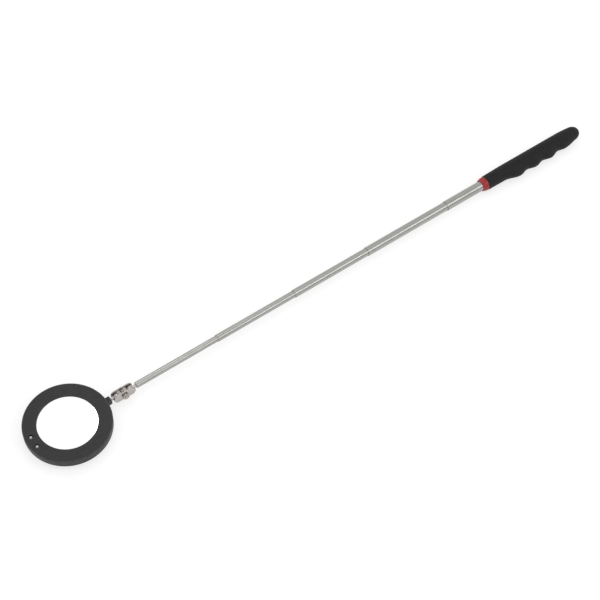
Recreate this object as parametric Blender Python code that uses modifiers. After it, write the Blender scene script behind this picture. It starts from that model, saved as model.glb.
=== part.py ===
"""Telescopic inspection mirror with a lit round head, built as an assembly of separate pieces.

Run it with: blender --background --factory-startup --python part.py

+X runs along the arm from the head to the grip, +Z is the way the mirror faces, and the origin
lies under the middle of the tool, on the surface that its grip rests on. Names that end in _AT
are stations: distances along the arm from the centre of the head. Heights in the head and the
clamp are counted from the arm's axis. Everything is in metres, with the arm pulled right out.
"""

import math

import bmesh
import bpy

MM = 0.001
CUT_PAST = 1.0 * MM  # how far a cutter runs beyond a face that it breaks through

# Head: the stack of pieces behind the mirror, from the front face to the back face
HEAD_LIFT = 0.6 * MM  # middle of the head above the arm's axis
STACK_GAP = 0.2 * MM  # between two flat pieces that lie on each other
LIP_T = 1.0 * MM
MIRROR_D = 56.8 * MM
MIRROR_T = 1.7 * MM
MIRROR_BEVEL = 0.2 * MM
PAD_D = 52.0 * MM
PAD_T = 0.4 * MM
CEILING_T = 0.5 * MM  # top of the battery box
CONTACT_T = 0.2 * MM
CELL_D = 16.0 * MM
CELL_T = 1.6 * MM
DOOR_T = 1.0 * MM

# Head: mouldings
RING_WIDTH = 11.5 * MM  # from the mirror's edge to the outside of the head, round the lamps
LIP_OVERLAP = 1.4 * MM  # how far the lip covers the mirror's edge
OPENING_CHAMFER = 0.5 * MM
FRONT_PLATE_T = 1.2 * MM
FRONT_EDGE_R = 1.0 * MM
BACK_EDGE_R = 0.9 * MM
RIM_WALL_T = 1.2 * MM
SEAT_WALL_T = 1.3 * MM  # the inner wall that centres the mirror
SIDE_GAP = 0.3 * MM
COVER_T = 1.2 * MM
POST_R = 2.25 * MM
POST_ANGLES = (45.0, 135.0, 225.0, 315.0)
COVER_SCREW_LENGTH = 5.0 * MM
COVER_SCREW_R = 0.75 * MM
COVER_SCREW_HEAD_R = 1.8 * MM
SMALL_SCREW_R = 0.55 * MM
SMALL_SCREW_HEAD_R = 1.3 * MM
SMALL_SCREW_HEAD_T = 0.8 * MM
SCREW_HEAD_RIM = 0.1 * MM

# Head: battery box and its door
BOX_WALL_T = 1.0 * MM
DOOR_LEDGE = 1.4 * MM
CELL_SPACING_GAP = 0.9 * MM
CONTACT_W = 4.4 * MM
CONTACT_Y = 6.0 * MM  # contact strips, each side of the middle
CONTACT_REACH = 1.6 * MM  # strip beyond the outside of the box
NOTCH_REACH = 6.0 * MM  # notch for a strip beyond the wall of the box
DOOR_POST_R = 1.7 * MM
DOOR_POST_X = 6.5 * MM
DOOR_SCREW_LENGTH = 3.0 * MM
CELL_CAP_STEP = (1.2 * MM, 0.2 * MM)  # how far the cap stands in from the can, and above it
DOOR_GROOVE = (0.8 * MM, 8.0 * MM, 0.3 * MM)
DOOR_GROOVE_PITCH = 1.8 * MM
DOOR_GROOVE_COUNT = 3
FIRST_DOOR_GROOVE_X = -3.0 * MM
CONTACT_PAST_MIDDLE = 2.4 * MM

# Head: lamps, board and switch
LED_R = 1.5 * MM
LED_FLANGE_R = 1.85 * MM
LED_FLANGE_T = 0.8 * MM
LED_HOLE_R = 2.2 * MM
LED_INWARD = 0.3 * MM  # lamps nearer the mirror than the middle of their ring
LED_SPACING = 10.9 * MM
LED_RECESS = 0.4 * MM
LEAD_PITCH = 1.27 * MM
LEAD_R = 0.22 * MM
LEAD_TAIL = 0.4 * MM  # lead below the board
LEAD_ROOT = 0.3 * MM  # lead inside the lamp
BOARD_T = 0.8 * MM
BOARD_HALF_ANGLE = 30.0
BOARD_EDGE_GAP = 0.6 * MM
BOARD_POST_ANGLE = 24.0  # each side of the lamps
BOARD_POST_R = 1.6 * MM
BOARD_SCREW_LENGTH = 2.6 * MM
RESISTOR_SIZE = (3.2 * MM, 1.6 * MM, 0.55 * MM)
RESISTOR_Y = 9.0 * MM
SWITCH_SIZE = (3.0 * MM, 7.2 * MM, 1.5 * MM)
KNOB_SIZE = (2.4 * MM, 3.0 * MM)
STEM_SIZE = (1.0 * MM, 1.3 * MM)
STEM_ROOT = 0.5 * MM  # stem inside the knob
SWITCH_TRAVEL = 2.5 * MM
SWITCH_DISH = (3.4 * MM, 3.1 * MM, 0.5 * MM)  # radius, half length of its middle, depth
KNOB_BELOW_BACK = 0.2 * MM
KNOB_GROOVE = 0.3 * MM
KNOB_GROOVE_PITCH = 0.8 * MM
WIRE_R = 0.4 * MM
WIRE_BOW = (1.5 * MM, 0.5 * MM)  # sideways and down

# Ball joints and clamp
BALL_D = 6.0 * MM
BALL_CLEARANCE = 0.1 * MM
STUD_R = 1.5 * MM
STUD_CLEARANCE = 0.1 * MM
BOSS_LENGTH = 4.2 * MM  # beyond the rim
BOSS_WIDTH = 6.4 * MM
BOSS_HEIGHT = 6.0 * MM
BOSS_INSIDE = 2.8 * MM  # behind the rim's outer face
BOSS_EDGE_R = 1.0 * MM
HEAD_NECK = 5.8 * MM  # boss end to the centre of its ball
CLIP_R = 2.3 * MM
CLIP_T = 0.5 * MM
CLIP_CLEARANCE = 0.1 * MM  # between the clip and the bottom of its groove
CLIP_ROOM = (4.0 * MM, 2.0 * MM, 0.5 * MM)  # along, across and into the back cover
CLIP_GROOVE_DEPTH = 0.4 * MM
PIN_TIP = 0.9 * MM  # pin beyond the clip's groove
PIN_CHAMFER = 0.3 * MM
BALL_SPACING = 14.0 * MM
CLAMP_ROLL = -11.0  # degrees about the arm
PLATE_W = 8.1 * MM
PLATE_T = 1.3 * MM
SEAT_DEPTH = 0.4 * MM  # how far a ball sinks into each plate
PLATE_GAP = BALL_D - 2 * SEAT_DEPTH  # between the plates' inner faces
DOME_WALL_T = 1.05 * MM
CLAMP_SCREW_R = 1.5 * MM
CLAMP_HOLE_CLEARANCE = 0.15 * MM
CLAMP_HEAD_R = 2.8 * MM
CLAMP_HEAD_T = 1.8 * MM
NUT_ACROSS_FLATS = 5.5 * MM
NUT_T = 2.4 * MM
NUT_BORE_CLEARANCE = 0.1 * MM
SCREW_TIP = 0.8 * MM  # screw beyond the nut
ARM_NECK = 6.2 * MM  # end of the last tube to the centre of its ball
ARM_SHANK = 8.0 * MM  # stud inside the last tube
SHANK_CHAMFER = 0.4 * MM

# Telescopic tubes, from the grip outwards
TUBE_1_D = 10.0 * MM
TUBE_STEP = 1.0 * MM
TUBE_WALL = 0.25 * MM
TUBE_RUN_GAP = 0.08 * MM
TUBE_OVERLAP = 10.0 * MM
LIP_LENGTH = 0.6 * MM
LIP_ROUND = 0.25 * MM
SLEEVE_LENGTH = 8.5 * MM
SLEEVE_GAP = 0.035 * MM
EXPOSED = (44.4 * MM, 96.8 * MM, 85.2 * MM, 86.6 * MM, 87.1 * MM)
LEFT_OUT = 3.0 * MM  # of each tube when it is pushed in

# Grip and collar
COLLAR_LENGTH = 6.0 * MM
COLLAR_FRONT_STEP = 0.9 * MM  # above the first tube
COLLAR_BACK_STEP = 2.0 * MM
COLLAR_EDGE = 0.6 * MM
GRIP_LENGTH = 121.6 * MM
GRIP_FRONT_STEP = 0.3 * MM  # above the collar
GRIP_WALL = 3.0 * MM  # over the first tube, above and below
PALM_WALL = 2.7 * MM  # on the straight side
RIDGE_WALL = 6.85 * MM  # at the top of a finger ridge
GRIP_FLARE = 22.0 * MM  # run over which the front end widens
RIDGE_DEPTH = 2.4 * MM
RIDGE_PITCH = 20.4 * MM
FIRST_RIDGE = 37.3 * MM  # from the grip's front end
FIRST_RIDGE_RUN = 16.5 * MM  # over which the finger side climbs to it
LAST_RIDGE_ROOM = 20.0 * MM  # at least, from the last ridge to the tip
RIDGE_COUNT = 1 + int((GRIP_LENGTH - FIRST_RIDGE - LAST_RIDGE_ROOM) / RIDGE_PITCH)
LAST_RIDGE_DROP = 1.4 * MM
PALM_TAPER = 0.7 * MM  # how far each side comes in between the last ridge and the rounded end
FINGER_TAPER = 2.5 * MM
HEIGHT_TAPER = 1.0 * MM
TAPER_POWER = 1.4
GRIP_ROUND = 10.0 * MM  # length of the rounded end
GRIP_TIP_Y = -0.4 * MM
BORE_GAP = 0.2 * MM
BORE_END_GAP = 2.0 * MM

# Sides of the round pieces
ROUND = 56
MEDIUM = 24
SMALL = 16
TINY = 10

# Radii of the collar and the grip, worked out from the first tube
COLLAR_FRONT_R = TUBE_1_D / 2 + COLLAR_FRONT_STEP
COLLAR_BACK_R = TUBE_1_D / 2 + COLLAR_BACK_STEP
GRIP_FRONT_R = COLLAR_BACK_R + GRIP_FRONT_STEP
GRIP_HALF_HEIGHT = TUBE_1_D / 2 + GRIP_WALL
GRIP_BACK_R = TUBE_1_D / 2 + PALM_WALL
RIDGE_TOP_R = TUBE_1_D / 2 + RIDGE_WALL

# Heights in the head, worked down through the stack
HEAD_T = LIP_T + MIRROR_T + PAD_T + CEILING_T + 2 * CONTACT_T + CELL_T + DOOR_T + 7 * STACK_GAP
FRONT_Z = HEAD_LIFT + HEAD_T / 2
BACK_Z = FRONT_Z - HEAD_T
MIRROR_TOP = FRONT_Z - LIP_T - STACK_GAP
PAD_TOP = MIRROR_TOP - MIRROR_T - STACK_GAP
CEILING_TOP = PAD_TOP - PAD_T - STACK_GAP
CONTACT_TOP = CEILING_TOP - CEILING_T - STACK_GAP
CELL_TOP = CONTACT_TOP - CONTACT_T - STACK_GAP
LINK_TOP = CELL_TOP - CELL_T - STACK_GAP
DOOR_TOP = BACK_Z + DOOR_T
COVER_TOP = BACK_Z + COVER_T
PLATE_UNDER = FRONT_Z - FRONT_PLATE_T
SEAT_BOTTOM = PAD_TOP - PAD_T - STACK_GAP / 2
BOARD_TOP = CEILING_TOP
BOARD_BOTTOM = BOARD_TOP - BOARD_T
SWITCH_TOP = BOARD_BOTTOM - STACK_GAP
SWITCH_BOTTOM = SWITCH_TOP - SWITCH_SIZE[2]

# Radii in the head
MIRROR_R = MIRROR_D / 2
HEAD_R = MIRROR_R + RING_WIDTH
OPENING_R = MIRROR_R - LIP_OVERLAP
SEAT_R = MIRROR_R + SIDE_GAP
RIM_INNER_R = HEAD_R - RIM_WALL_T
POST_RING_R = (SEAT_R + SEAT_WALL_T + RIM_INNER_R) / 2  # midway between the seat wall and the rim
LED_RING_R = POST_RING_R - LED_INWARD
BOARD_INNER_R = SEAT_R + SEAT_WALL_T + BOARD_EDGE_GAP
BOARD_OUTER_R = RIM_INNER_R - BOARD_EDGE_GAP
CELL_PITCH = CELL_D + CELL_SPACING_GAP
WELL_R = CELL_D / 2 + SIDE_GAP
DOOR_R = WELL_R + DOOR_LEDGE
DOOR_OPENING_R = DOOR_R + STACK_GAP
BOX_R = DOOR_OPENING_R + BOX_WALL_T

# Stations along the arm
BOSS_END_AT = HEAD_R + BOSS_LENGTH
HEAD_BALL_AT = BOSS_END_AT + HEAD_NECK
CLAMP_AT = HEAD_BALL_AT + BALL_SPACING / 2
ARM_BALL_AT = HEAD_BALL_AT + BALL_SPACING
TUBE_5_AT = ARM_BALL_AT + ARM_NECK
TUBE_COUNT = len(EXPOSED)
COLLAR_AT = TUBE_5_AT + sum(EXPOSED)
GRIP_AT = COLLAR_AT + COLLAR_LENGTH + SIDE_GAP
GRIP_END_AT = GRIP_AT + GRIP_LENGTH

# The frame: the origin is under the middle of the whole length, at the grip's lowest point
MIDDLE_AT = (GRIP_END_AT - HEAD_R) / 2
AXIS_Z = max(GRIP_HALF_HEIGHT, -BACK_Z)

COLOURS = {
    "head_plastic": ((0.047, 0.047, 0.047), 0.45, 0.0),
    "grip_rubber": ((0.026, 0.026, 0.026), 0.6, 0.0),
    "red_plastic": ((0.30, 0.035, 0.04), 0.4, 0.0),
    "tube_steel": ((0.55, 0.55, 0.54), 0.28, 1.0),
    "plated_steel": ((0.62, 0.60, 0.60), 0.22, 1.0),
    "zinc_steel": ((0.60, 0.58, 0.53), 0.3, 1.0),
    "brass": ((0.66, 0.48, 0.2), 0.35, 1.0),
    "mirror_glass": ((0.9, 0.9, 0.9), 0.02, 1.0),
    "foam": ((0.6, 0.6, 0.58), 0.9, 0.0),
    "cell_steel": ((0.65, 0.65, 0.66), 0.25, 1.0),
    "board_laminate": ((0.03, 0.18, 0.07), 0.5, 0.0),
    "led_resin": ((0.62, 0.63, 0.6), 0.15, 0.0),
    "red_insulation": ((0.45, 0.02, 0.02), 0.5, 0.0),
    "black_insulation": ((0.02, 0.02, 0.02), 0.5, 0.0),
}


def clear_scene():
    for obj in list(bpy.data.objects):
        bpy.data.objects.remove(obj)


def new_collection(name):
    collection = bpy.data.collections.new(name)
    bpy.context.scene.collection.children.link(collection)
    return collection


clear_scene()
PARTS = new_collection("inspection_mirror")
CUTTERS = new_collection("cutters")


def material(name, finish):
    """A plain Principled material of one node's own, with the colour of its finish."""
    colour, roughness, metallic = COLOURS[finish]
    made = bpy.data.materials.new(f"{name}_{finish}")
    made.use_nodes = True
    shader = made.node_tree.nodes["Principled BSDF"]
    shader.inputs["Base Color"].default_value = (*colour, 1.0)
    shader.inputs["Roughness"].default_value = roughness
    shader.inputs["Metallic"].default_value = metallic
    return made


def pivot(name, station, roll=0.0):
    """An empty on the arm's axis that a moving group hangs on, at its joint."""
    empty = bpy.data.objects.new(name, None)
    empty.location = (station - MIDDLE_AT, 0.0, AXIS_Z)
    empty.rotation_euler = (math.radians(roll), 0.0, 0.0)
    empty["station"] = station
    PARTS.objects.link(empty)
    return empty


def place(obj, group, station, y=0.0, z=0.0, turn=(0.0, 0.0, 0.0)):
    """Hangs obj on a group's pivot with its origin at a station, y aside and z above the axis."""
    obj.parent = group
    obj.location = (station - group["station"], y, z)
    obj.rotation_euler = [math.radians(angle) for angle in turn]
    return obj


def finish(obj, finish_name):
    obj.data.materials.append(material(obj.name, finish_name))
    return obj


def mesh_object(name, mesh):
    obj = bpy.data.objects.new(name, mesh)
    PARTS.objects.link(obj)
    return obj


def object_from_bmesh(name, bm):
    mesh = bpy.data.meshes.new(name)
    bm.to_mesh(mesh)
    bm.free()
    return mesh_object(name, mesh)


def box(name, size):
    """A box about its own origin."""
    bm = bmesh.new()
    bmesh.ops.create_cube(bm, size=1.0)
    bmesh.ops.scale(bm, vec=size, verts=bm.verts)
    return object_from_bmesh(name, bm)


def cylinder(name, radius, z_low, z_high, sides=SMALL):
    """A cylinder on the local Z axis between two heights."""
    bm = bmesh.new()
    bmesh.ops.create_cone(
        bm, cap_ends=True, segments=sides, radius1=radius, radius2=radius, depth=z_high - z_low
    )
    bmesh.ops.translate(bm, vec=(0.0, 0.0, (z_high + z_low) / 2), verts=bm.verts)
    return object_from_bmesh(name, bm)


def ball(name, radius, sides=20):
    bm = bmesh.new()
    bmesh.ops.create_uvsphere(bm, u_segments=sides, v_segments=sides // 2, radius=radius)
    return object_from_bmesh(name, bm)


def turned(name, profile, sides=MEDIUM):
    """Turns a profile of (radius, height) about Z. It runs down the outer side, and a profile
    that doesn't start on the axis is a ring, which comes back up its bore to where it began."""
    bm = bmesh.new()
    verts = [bm.verts.new((radius, 0.0, height)) for radius, height in profile]
    for first, second in zip(verts, verts[1:]):
        bm.edges.new((first, second))
    if profile[0][0] > 0.0:
        bm.edges.new((verts[-1], verts[0]))
    obj = object_from_bmesh(name, bm)
    screw = obj.modifiers.new("turn", "SCREW")
    screw.axis = "Z"
    screw.steps = sides
    screw.render_steps = sides
    screw.use_merge_vertices = True
    screw.merge_threshold = 0.000005
    return obj


def plate(name, outlines, z_low, z_high):
    """A flat plate between two heights. The first outline is its edge and the others are holes."""
    curve = bpy.data.curves.new(name, "CURVE")
    curve.dimensions = "2D"
    curve.fill_mode = "BOTH"
    curve.extrude = (z_high - z_low) / 2
    for outline in outlines:
        spline = curve.splines.new("POLY")
        spline.points.add(len(outline) - 1)
        for point, (x, y) in zip(spline.points, outline):
            point.co = (x, y, 0.0, 1.0)
        spline.use_cyclic_u = True
    flat = bpy.data.objects.new(name, curve)
    PARTS.objects.link(flat)
    mesh = bpy.data.meshes.new_from_object(flat.evaluated_get(bpy.context.evaluated_depsgraph_get()))
    bpy.data.objects.remove(flat)
    bm = bmesh.new()
    bm.from_mesh(mesh)
    bpy.data.meshes.remove(mesh)
    bmesh.ops.remove_doubles(bm, verts=bm.verts, dist=0.000002)
    bmesh.ops.recalc_face_normals(bm, faces=bm.faces)
    bmesh.ops.translate(bm, vec=(0.0, 0.0, (z_high + z_low) / 2), verts=bm.verts)
    return object_from_bmesh(name, bm)


def circle(radius, x=0.0, y=0.0, sides=SMALL):
    steps = [2 * math.pi * i / sides for i in range(sides)]
    return [(x + radius * math.cos(a), y + radius * math.sin(a)) for a in steps]


def arc(radius, start, end, steps, x=0.0, y=0.0):
    """Points on an arc, both ends included, with its angles in degrees."""
    angles = [math.radians(start + (end - start) * i / steps) for i in range(steps + 1)]
    return [(x + radius * math.cos(a), y + radius * math.sin(a)) for a in angles]


def capsule(radius, half_middle, along_y=False, steps=8):
    """A slot outline: two half circles and the straight sides between them."""
    outline = arc(radius, -90, 90, steps, x=half_middle) + arc(radius, 90, 270, steps, x=-half_middle)
    return [(-y, x) for x, y in outline] if along_y else outline


def combine(target, other, operation):
    """Adds a Boolean of `other` to target, and puts `other` away with the cutters."""
    modifier = target.modifiers.new(other.name, "BOOLEAN")
    modifier.object = other
    modifier.operation = operation
    PARTS.objects.unlink(other)
    CUTTERS.objects.link(other)
    other.hide_render = True
    other.display_type = "WIRE"


def cut(target, *cutters):
    for cutter in cutters:
        combine(target, cutter, "DIFFERENCE")


def join(target, *others):
    for other in others:
        combine(target, other, "UNION")


def shade_round(obj):
    obj.data.shade_smooth()
    obj.data.set_sharp_from_angle(angle=math.radians(35))


def add_cross_recess(screw, group, station, y, z, turn, radius, depth):
    """Cuts a cross into a screw's face, which is at its own origin, facing down its local Z."""
    for index, quarter in enumerate((0.0, 90.0)):
        arm = box(f"{screw.name}_recess_{index}", (radius * 1.25, radius * 0.32, depth * 2))
        tilt = (turn[0], turn[1], turn[2] + quarter)
        cut(screw, place(arm, group, station, y, z, tilt))


def countersunk_screw(name, group, x, y, head_r, shank_r, length, colour="zinc_steel"):
    """A small flat-head screw driven up into the head from its back face."""
    head_t = head_r - shank_r
    face_z = BACK_Z + STACK_GAP / 2
    profile = [
        (0.0, length),
        (shank_r * 0.6, length),
        (shank_r, length - shank_r * 0.8),
        (shank_r, head_t),
        (head_r, SCREW_HEAD_RIM),
        (head_r, 0.0),
        (0.0, 0.0),
    ]
    screw = place(turned(name, profile, SMALL), group, x, y, face_z)
    add_cross_recess(screw, group, x, y, face_z, (0.0, 0.0, 0.0), head_r, head_t * 0.45)
    return finish(screw, colour)


def countersink(name, group, x, y, head_r, shank_r, z_high):
    """The cutter for such a screw: a cone at the back face and a hole through to z_high."""
    head_t = head_r - shank_r
    profile = [
        (0.0, z_high),
        (shank_r + STACK_GAP, z_high),
        (shank_r + STACK_GAP, BACK_Z + head_t + STACK_GAP),
        (head_r + STACK_GAP, BACK_Z + STACK_GAP),
        (head_r + STACK_GAP, BACK_Z - CUT_PAST),
        (0.0, BACK_Z - CUT_PAST),
    ]
    return place(turned(name, profile, SMALL), group, x, y, 0.0)


def polar(radius, degrees):
    return radius * math.cos(math.radians(degrees)), radius * math.sin(math.radians(degrees))


# ---------------------------------------------------------------- arm


def tube_radius(number):
    return (TUBE_1_D - (number - 1) * TUBE_STEP) / 2


def tube_front(number):
    """Station of a tube's front end, with the arm pulled out. Tube 1 is the one in the grip."""
    return COLLAR_AT - sum(EXPOSED[:number])


def tube_travel(number):
    return EXPOSED[number - 1] - LEFT_OUT


def tube_rear(number):
    if number > 1:
        return tube_front(number - 1) + TUBE_OVERLAP
    deepest = max(
        tube_rear(later) + sum(tube_travel(n) for n in range(2, later + 1))
        for later in range(2, TUBE_COUNT + 1)
    )
    return deepest + BORE_END_GAP


def make_tube(number, group):
    """A drawn tube whose front end is rolled in to hold the sleeve of the next one."""
    outer = tube_radius(number)
    inner = outer - TUBE_WALL
    if number < TUBE_COUNT:
        lip = tube_radius(number + 1) + TUBE_RUN_GAP
    else:
        lip = STUD_R + 2 * STUD_CLEARANCE
    front = tube_front(number)
    length = tube_rear(number) - front
    profile = [
        (outer, length),
        (outer, LIP_ROUND),
        (outer - LIP_ROUND / 2, 0.0),
        (lip, 0.0),
        (lip, LIP_LENGTH),
        (inner, LIP_LENGTH + (inner - lip)),
        (inner, length),
    ]
    profile = [(r, length - h) for r, h in reversed(profile)]
    tube = turned(f"tube_{number}", profile, MEDIUM)
    shade_round(tube)
    place(tube, group, front + length, turn=(0.0, -90.0, 0.0))
    return finish(tube, "tube_steel")


def make_sleeve(number, group):
    """The springy brass sleeve round a tube's inner end, which rubs in the tube outside it."""
    inner = tube_radius(number) + SLEEVE_GAP
    outer = tube_radius(number - 1) - TUBE_WALL - SLEEVE_GAP
    profile = [(outer, SLEEVE_LENGTH), (outer, 0.0), (inner, 0.0), (inner, SLEEVE_LENGTH)]
    sleeve = turned(f"friction_sleeve_{number}", profile, MEDIUM)
    place(sleeve, group, tube_rear(number) - SLEEVE_LENGTH, turn=(0.0, 90.0, 0.0))
    return finish(sleeve, "brass")


# ---------------------------------------------------------------- grip


def rounded(amount):
    """Height of a quarter ellipse, from 1 at amount 0 to 0 at amount 1."""
    return math.sqrt(max(0.0, 1.0 - amount * amount))


def grip_section(along):
    """The grip's palm side, finger side and half height at a distance from its front end."""
    flare = min(1.0, along / GRIP_FLARE)
    palm = GRIP_FRONT_R + (GRIP_BACK_R - GRIP_FRONT_R) * flare
    half_height = GRIP_FRONT_R + (GRIP_HALF_HEIGHT - GRIP_FRONT_R) * flare
    last_ridge = FIRST_RIDGE + (RIDGE_COUNT - 1) * RIDGE_PITCH
    round_from = GRIP_LENGTH - GRIP_ROUND
    if along < FIRST_RIDGE:
        climb = max(0.0, 1.0 - (FIRST_RIDGE - along) / FIRST_RIDGE_RUN)
        finger = GRIP_FRONT_R + (RIDGE_TOP_R - GRIP_FRONT_R) * (1 - math.cos(math.pi * climb)) / 2
    elif along < last_ridge:
        turn = 2 * math.pi * (along - FIRST_RIDGE) / RIDGE_PITCH
        fade = max(0.0, (along - last_ridge + RIDGE_PITCH) / RIDGE_PITCH)
        finger = RIDGE_TOP_R - RIDGE_DEPTH / 2 * (1 - math.cos(turn)) - LAST_RIDGE_DROP * fade
    else:
        taper = min(1.0, (along - last_ridge) / (round_from - last_ridge)) ** TAPER_POWER
        palm -= PALM_TAPER * taper
        finger = RIDGE_TOP_R - LAST_RIDGE_DROP - FINGER_TAPER * taper
        half_height -= HEIGHT_TAPER * taper
    if along > round_from:
        share = rounded((along - round_from) / GRIP_ROUND)
        palm = GRIP_TIP_Y + (palm - GRIP_TIP_Y) * share
        finger = (finger + GRIP_TIP_Y) * share - GRIP_TIP_Y
        half_height *= share
    return palm, finger, half_height


def grip_stations():
    """Distances from the grip's front end: even along the ridges, closer round the tip."""
    step = RIDGE_PITCH / 6
    straight = GRIP_LENGTH - GRIP_ROUND
    count = max(2, round(straight / step))
    even = [straight * i / count for i in range(count + 1)]
    tip = [straight + GRIP_ROUND * math.sin(math.radians(a)) for a in (20, 38, 54, 67, 77, 84)]
    return even + tip


def make_grip(group, sides=24):
    """The moulded grip, lofted through its sections and closed at a pole on its tip."""
    bm = bmesh.new()
    rings = []
    for along in grip_stations():
        palm, finger, half_height = grip_section(along)
        ring = []
        for i in range(sides):
            angle = 2 * math.pi * i / sides
            reach = palm if math.cos(angle) > 0.0 else finger
            y = reach * math.cos(angle)
            ring.append(bm.verts.new((along, y, half_height * math.sin(angle))))
        rings.append(ring)
    pole = bm.verts.new((GRIP_LENGTH, GRIP_TIP_Y, 0.0))
    bm.faces.new(rings[0])
    for ring, following in zip(rings, rings[1:]):
        for i in range(sides):
            j = (i + 1) % sides
            bm.faces.new((ring[i], ring[j], following[j], following[i]))
    for i in range(sides):
        bm.faces.new((rings[-1][i], rings[-1][(i + 1) % sides], pole))
    bmesh.ops.recalc_face_normals(bm, faces=bm.faces)
    grip = place(object_from_bmesh("grip", bm), group, GRIP_AT)
    shade_round(grip)
    bore_length = tube_rear(1) + BORE_END_GAP - GRIP_AT
    bore = cylinder("grip_bore", TUBE_1_D / 2 + BORE_GAP, -CUT_PAST, bore_length, MEDIUM)
    cut(grip, place(bore, group, GRIP_AT, turn=(0.0, 90.0, 0.0)))
    return finish(grip, "grip_rubber")


def make_collar(group):
    bore = TUBE_1_D / 2 + BORE_GAP
    profile = [
        (COLLAR_BACK_R - COLLAR_EDGE, COLLAR_LENGTH),
        (COLLAR_BACK_R, COLLAR_LENGTH - COLLAR_EDGE),
        (COLLAR_FRONT_R, COLLAR_EDGE),
        (COLLAR_FRONT_R - COLLAR_EDGE / 2, 0.0),
        (bore, 0.0),
        (bore, COLLAR_LENGTH),
    ]
    collar = turned("grip_collar", profile, MEDIUM)
    shade_round(collar)
    place(collar, group, COLLAR_AT, turn=(0.0, 90.0, 0.0))
    return finish(collar, "red_plastic")


# ---------------------------------------------------------------- ball studs and clamp


def make_arm_stud(group):
    """The ball on the arm: its shank turns in the rolled end of the last tube."""
    shank = tube_radius(TUBE_COUNT) - TUBE_WALL - STUD_CLEARANCE
    shoulder = ARM_NECK + LIP_LENGTH + tube_radius(TUBE_COUNT) - TUBE_WALL
    shoulder -= STUD_R + STUD_CLEARANCE
    end = shoulder + ARM_SHANK
    stud = ball("arm_ball_stud", BALL_D / 2)
    place(stud, group, ARM_BALL_AT, turn=(0.0, 90.0, 0.0))
    profile = [
        (0.0, end),
        (shank - SHANK_CHAMFER, end),
        (shank, end - SHANK_CHAMFER),
        (shank, shoulder),
        (STUD_R, shoulder - (shank - STUD_R) * 0.5),
        (STUD_R, BALL_D * 0.25),
        (0.0, BALL_D * 0.25),
    ]
    shaft = turned("arm_stud_shaft", profile, MEDIUM)
    join(stud, place(shaft, group, ARM_BALL_AT, turn=(0.0, 90.0, 0.0)))
    shade_round(stud)
    return finish(stud, "plated_steel")


def clip_station():
    """Station of the middle of the clip, inside the rim behind its bearing block."""
    return HEAD_R - BOSS_INSIDE - SIDE_GAP - CLIP_T / 2


def make_head_stud(group):
    """The ball on the head: its pin turns in the boss and is held by a clip inside the rim."""
    groove = (HEAD_BALL_AT - clip_station()) - CLIP_T / 2 - STACK_GAP
    groove_end = groove + CLIP_T + 2 * STACK_GAP
    end = groove_end + PIN_TIP
    stud = ball("head_ball_stud", BALL_D / 2)
    place(stud, group, HEAD_BALL_AT, turn=(0.0, -90.0, 0.0))
    profile = [
        (0.0, end),
        (STUD_R - PIN_CHAMFER, end),
        (STUD_R, end - PIN_CHAMFER),
        (STUD_R, groove_end),
        (STUD_R - CLIP_GROOVE_DEPTH, groove_end),
        (STUD_R - CLIP_GROOVE_DEPTH, groove),
        (STUD_R, groove),
        (STUD_R, BALL_D * 0.25),
        (0.0, BALL_D * 0.25),
    ]
    shaft = turned("head_stud_shaft", profile, MEDIUM)
    join(stud, place(shaft, group, HEAD_BALL_AT, turn=(0.0, -90.0, 0.0)))
    shade_round(stud)
    return finish(stud, "plated_steel")


def make_stud_clip(group):
    """An open ring in the pin's groove."""
    inner = STUD_R - CLIP_GROOVE_DEPTH + CLIP_CLEARANCE
    half = CLIP_T / 2
    profile = [(CLIP_R, half), (CLIP_R, -half), (inner, -half), (inner, half)]
    clip = turned("stud_clip", profile, SMALL)
    place(clip, group, clip_station(), turn=(0.0, 90.0, 0.0))
    mouth = box("stud_clip_mouth", (2 * CLIP_T, inner * 1.5, CLIP_R * 2))
    cut(clip, place(mouth, group, clip_station(), z=CLIP_R))
    return finish(clip, "zinc_steel")


def make_clamp_plate(name, group, side):
    """A pressed plate with a dome over each ball. side is -1 for the nut's side, 1 for the other."""
    turn = (-90.0 * side, 0.0, 0.0)
    near = PLATE_GAP / 2
    half = BALL_SPACING / 2
    pocket_r = BALL_D / 2 + BALL_CLEARANCE
    outline = capsule(PLATE_W / 2, half)
    pressed = place(plate(name, [outline], near, near + PLATE_T), group, CLAMP_AT, turn=turn)
    for index, x in enumerate((-half, half)):
        dome = ball(f"{name}_dome_{index}", pocket_r + DOME_WALL_T)
        join(pressed, place(dome, group, CLAMP_AT + x, turn=turn))
    reach = 4 * BALL_D
    inside = box(f"{name}_inside", (reach, 2 * reach, near + reach))
    offset = (near - (near + reach) / 2) * side
    cut(pressed, place(inside, group, CLAMP_AT, y=offset, turn=turn))
    for index, x in enumerate((-half, half)):
        pocket = ball(f"{name}_pocket_{index}", pocket_r, MEDIUM)
        cut(pressed, place(pocket, group, CLAMP_AT + x, turn=turn))
    hole = cylinder(f"{name}_hole", CLAMP_SCREW_R + CLAMP_HOLE_CLEARANCE, 0.0, near + 3 * PLATE_T)
    cut(pressed, place(hole, group, CLAMP_AT, turn=turn))
    return finish(pressed, "plated_steel")


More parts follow.
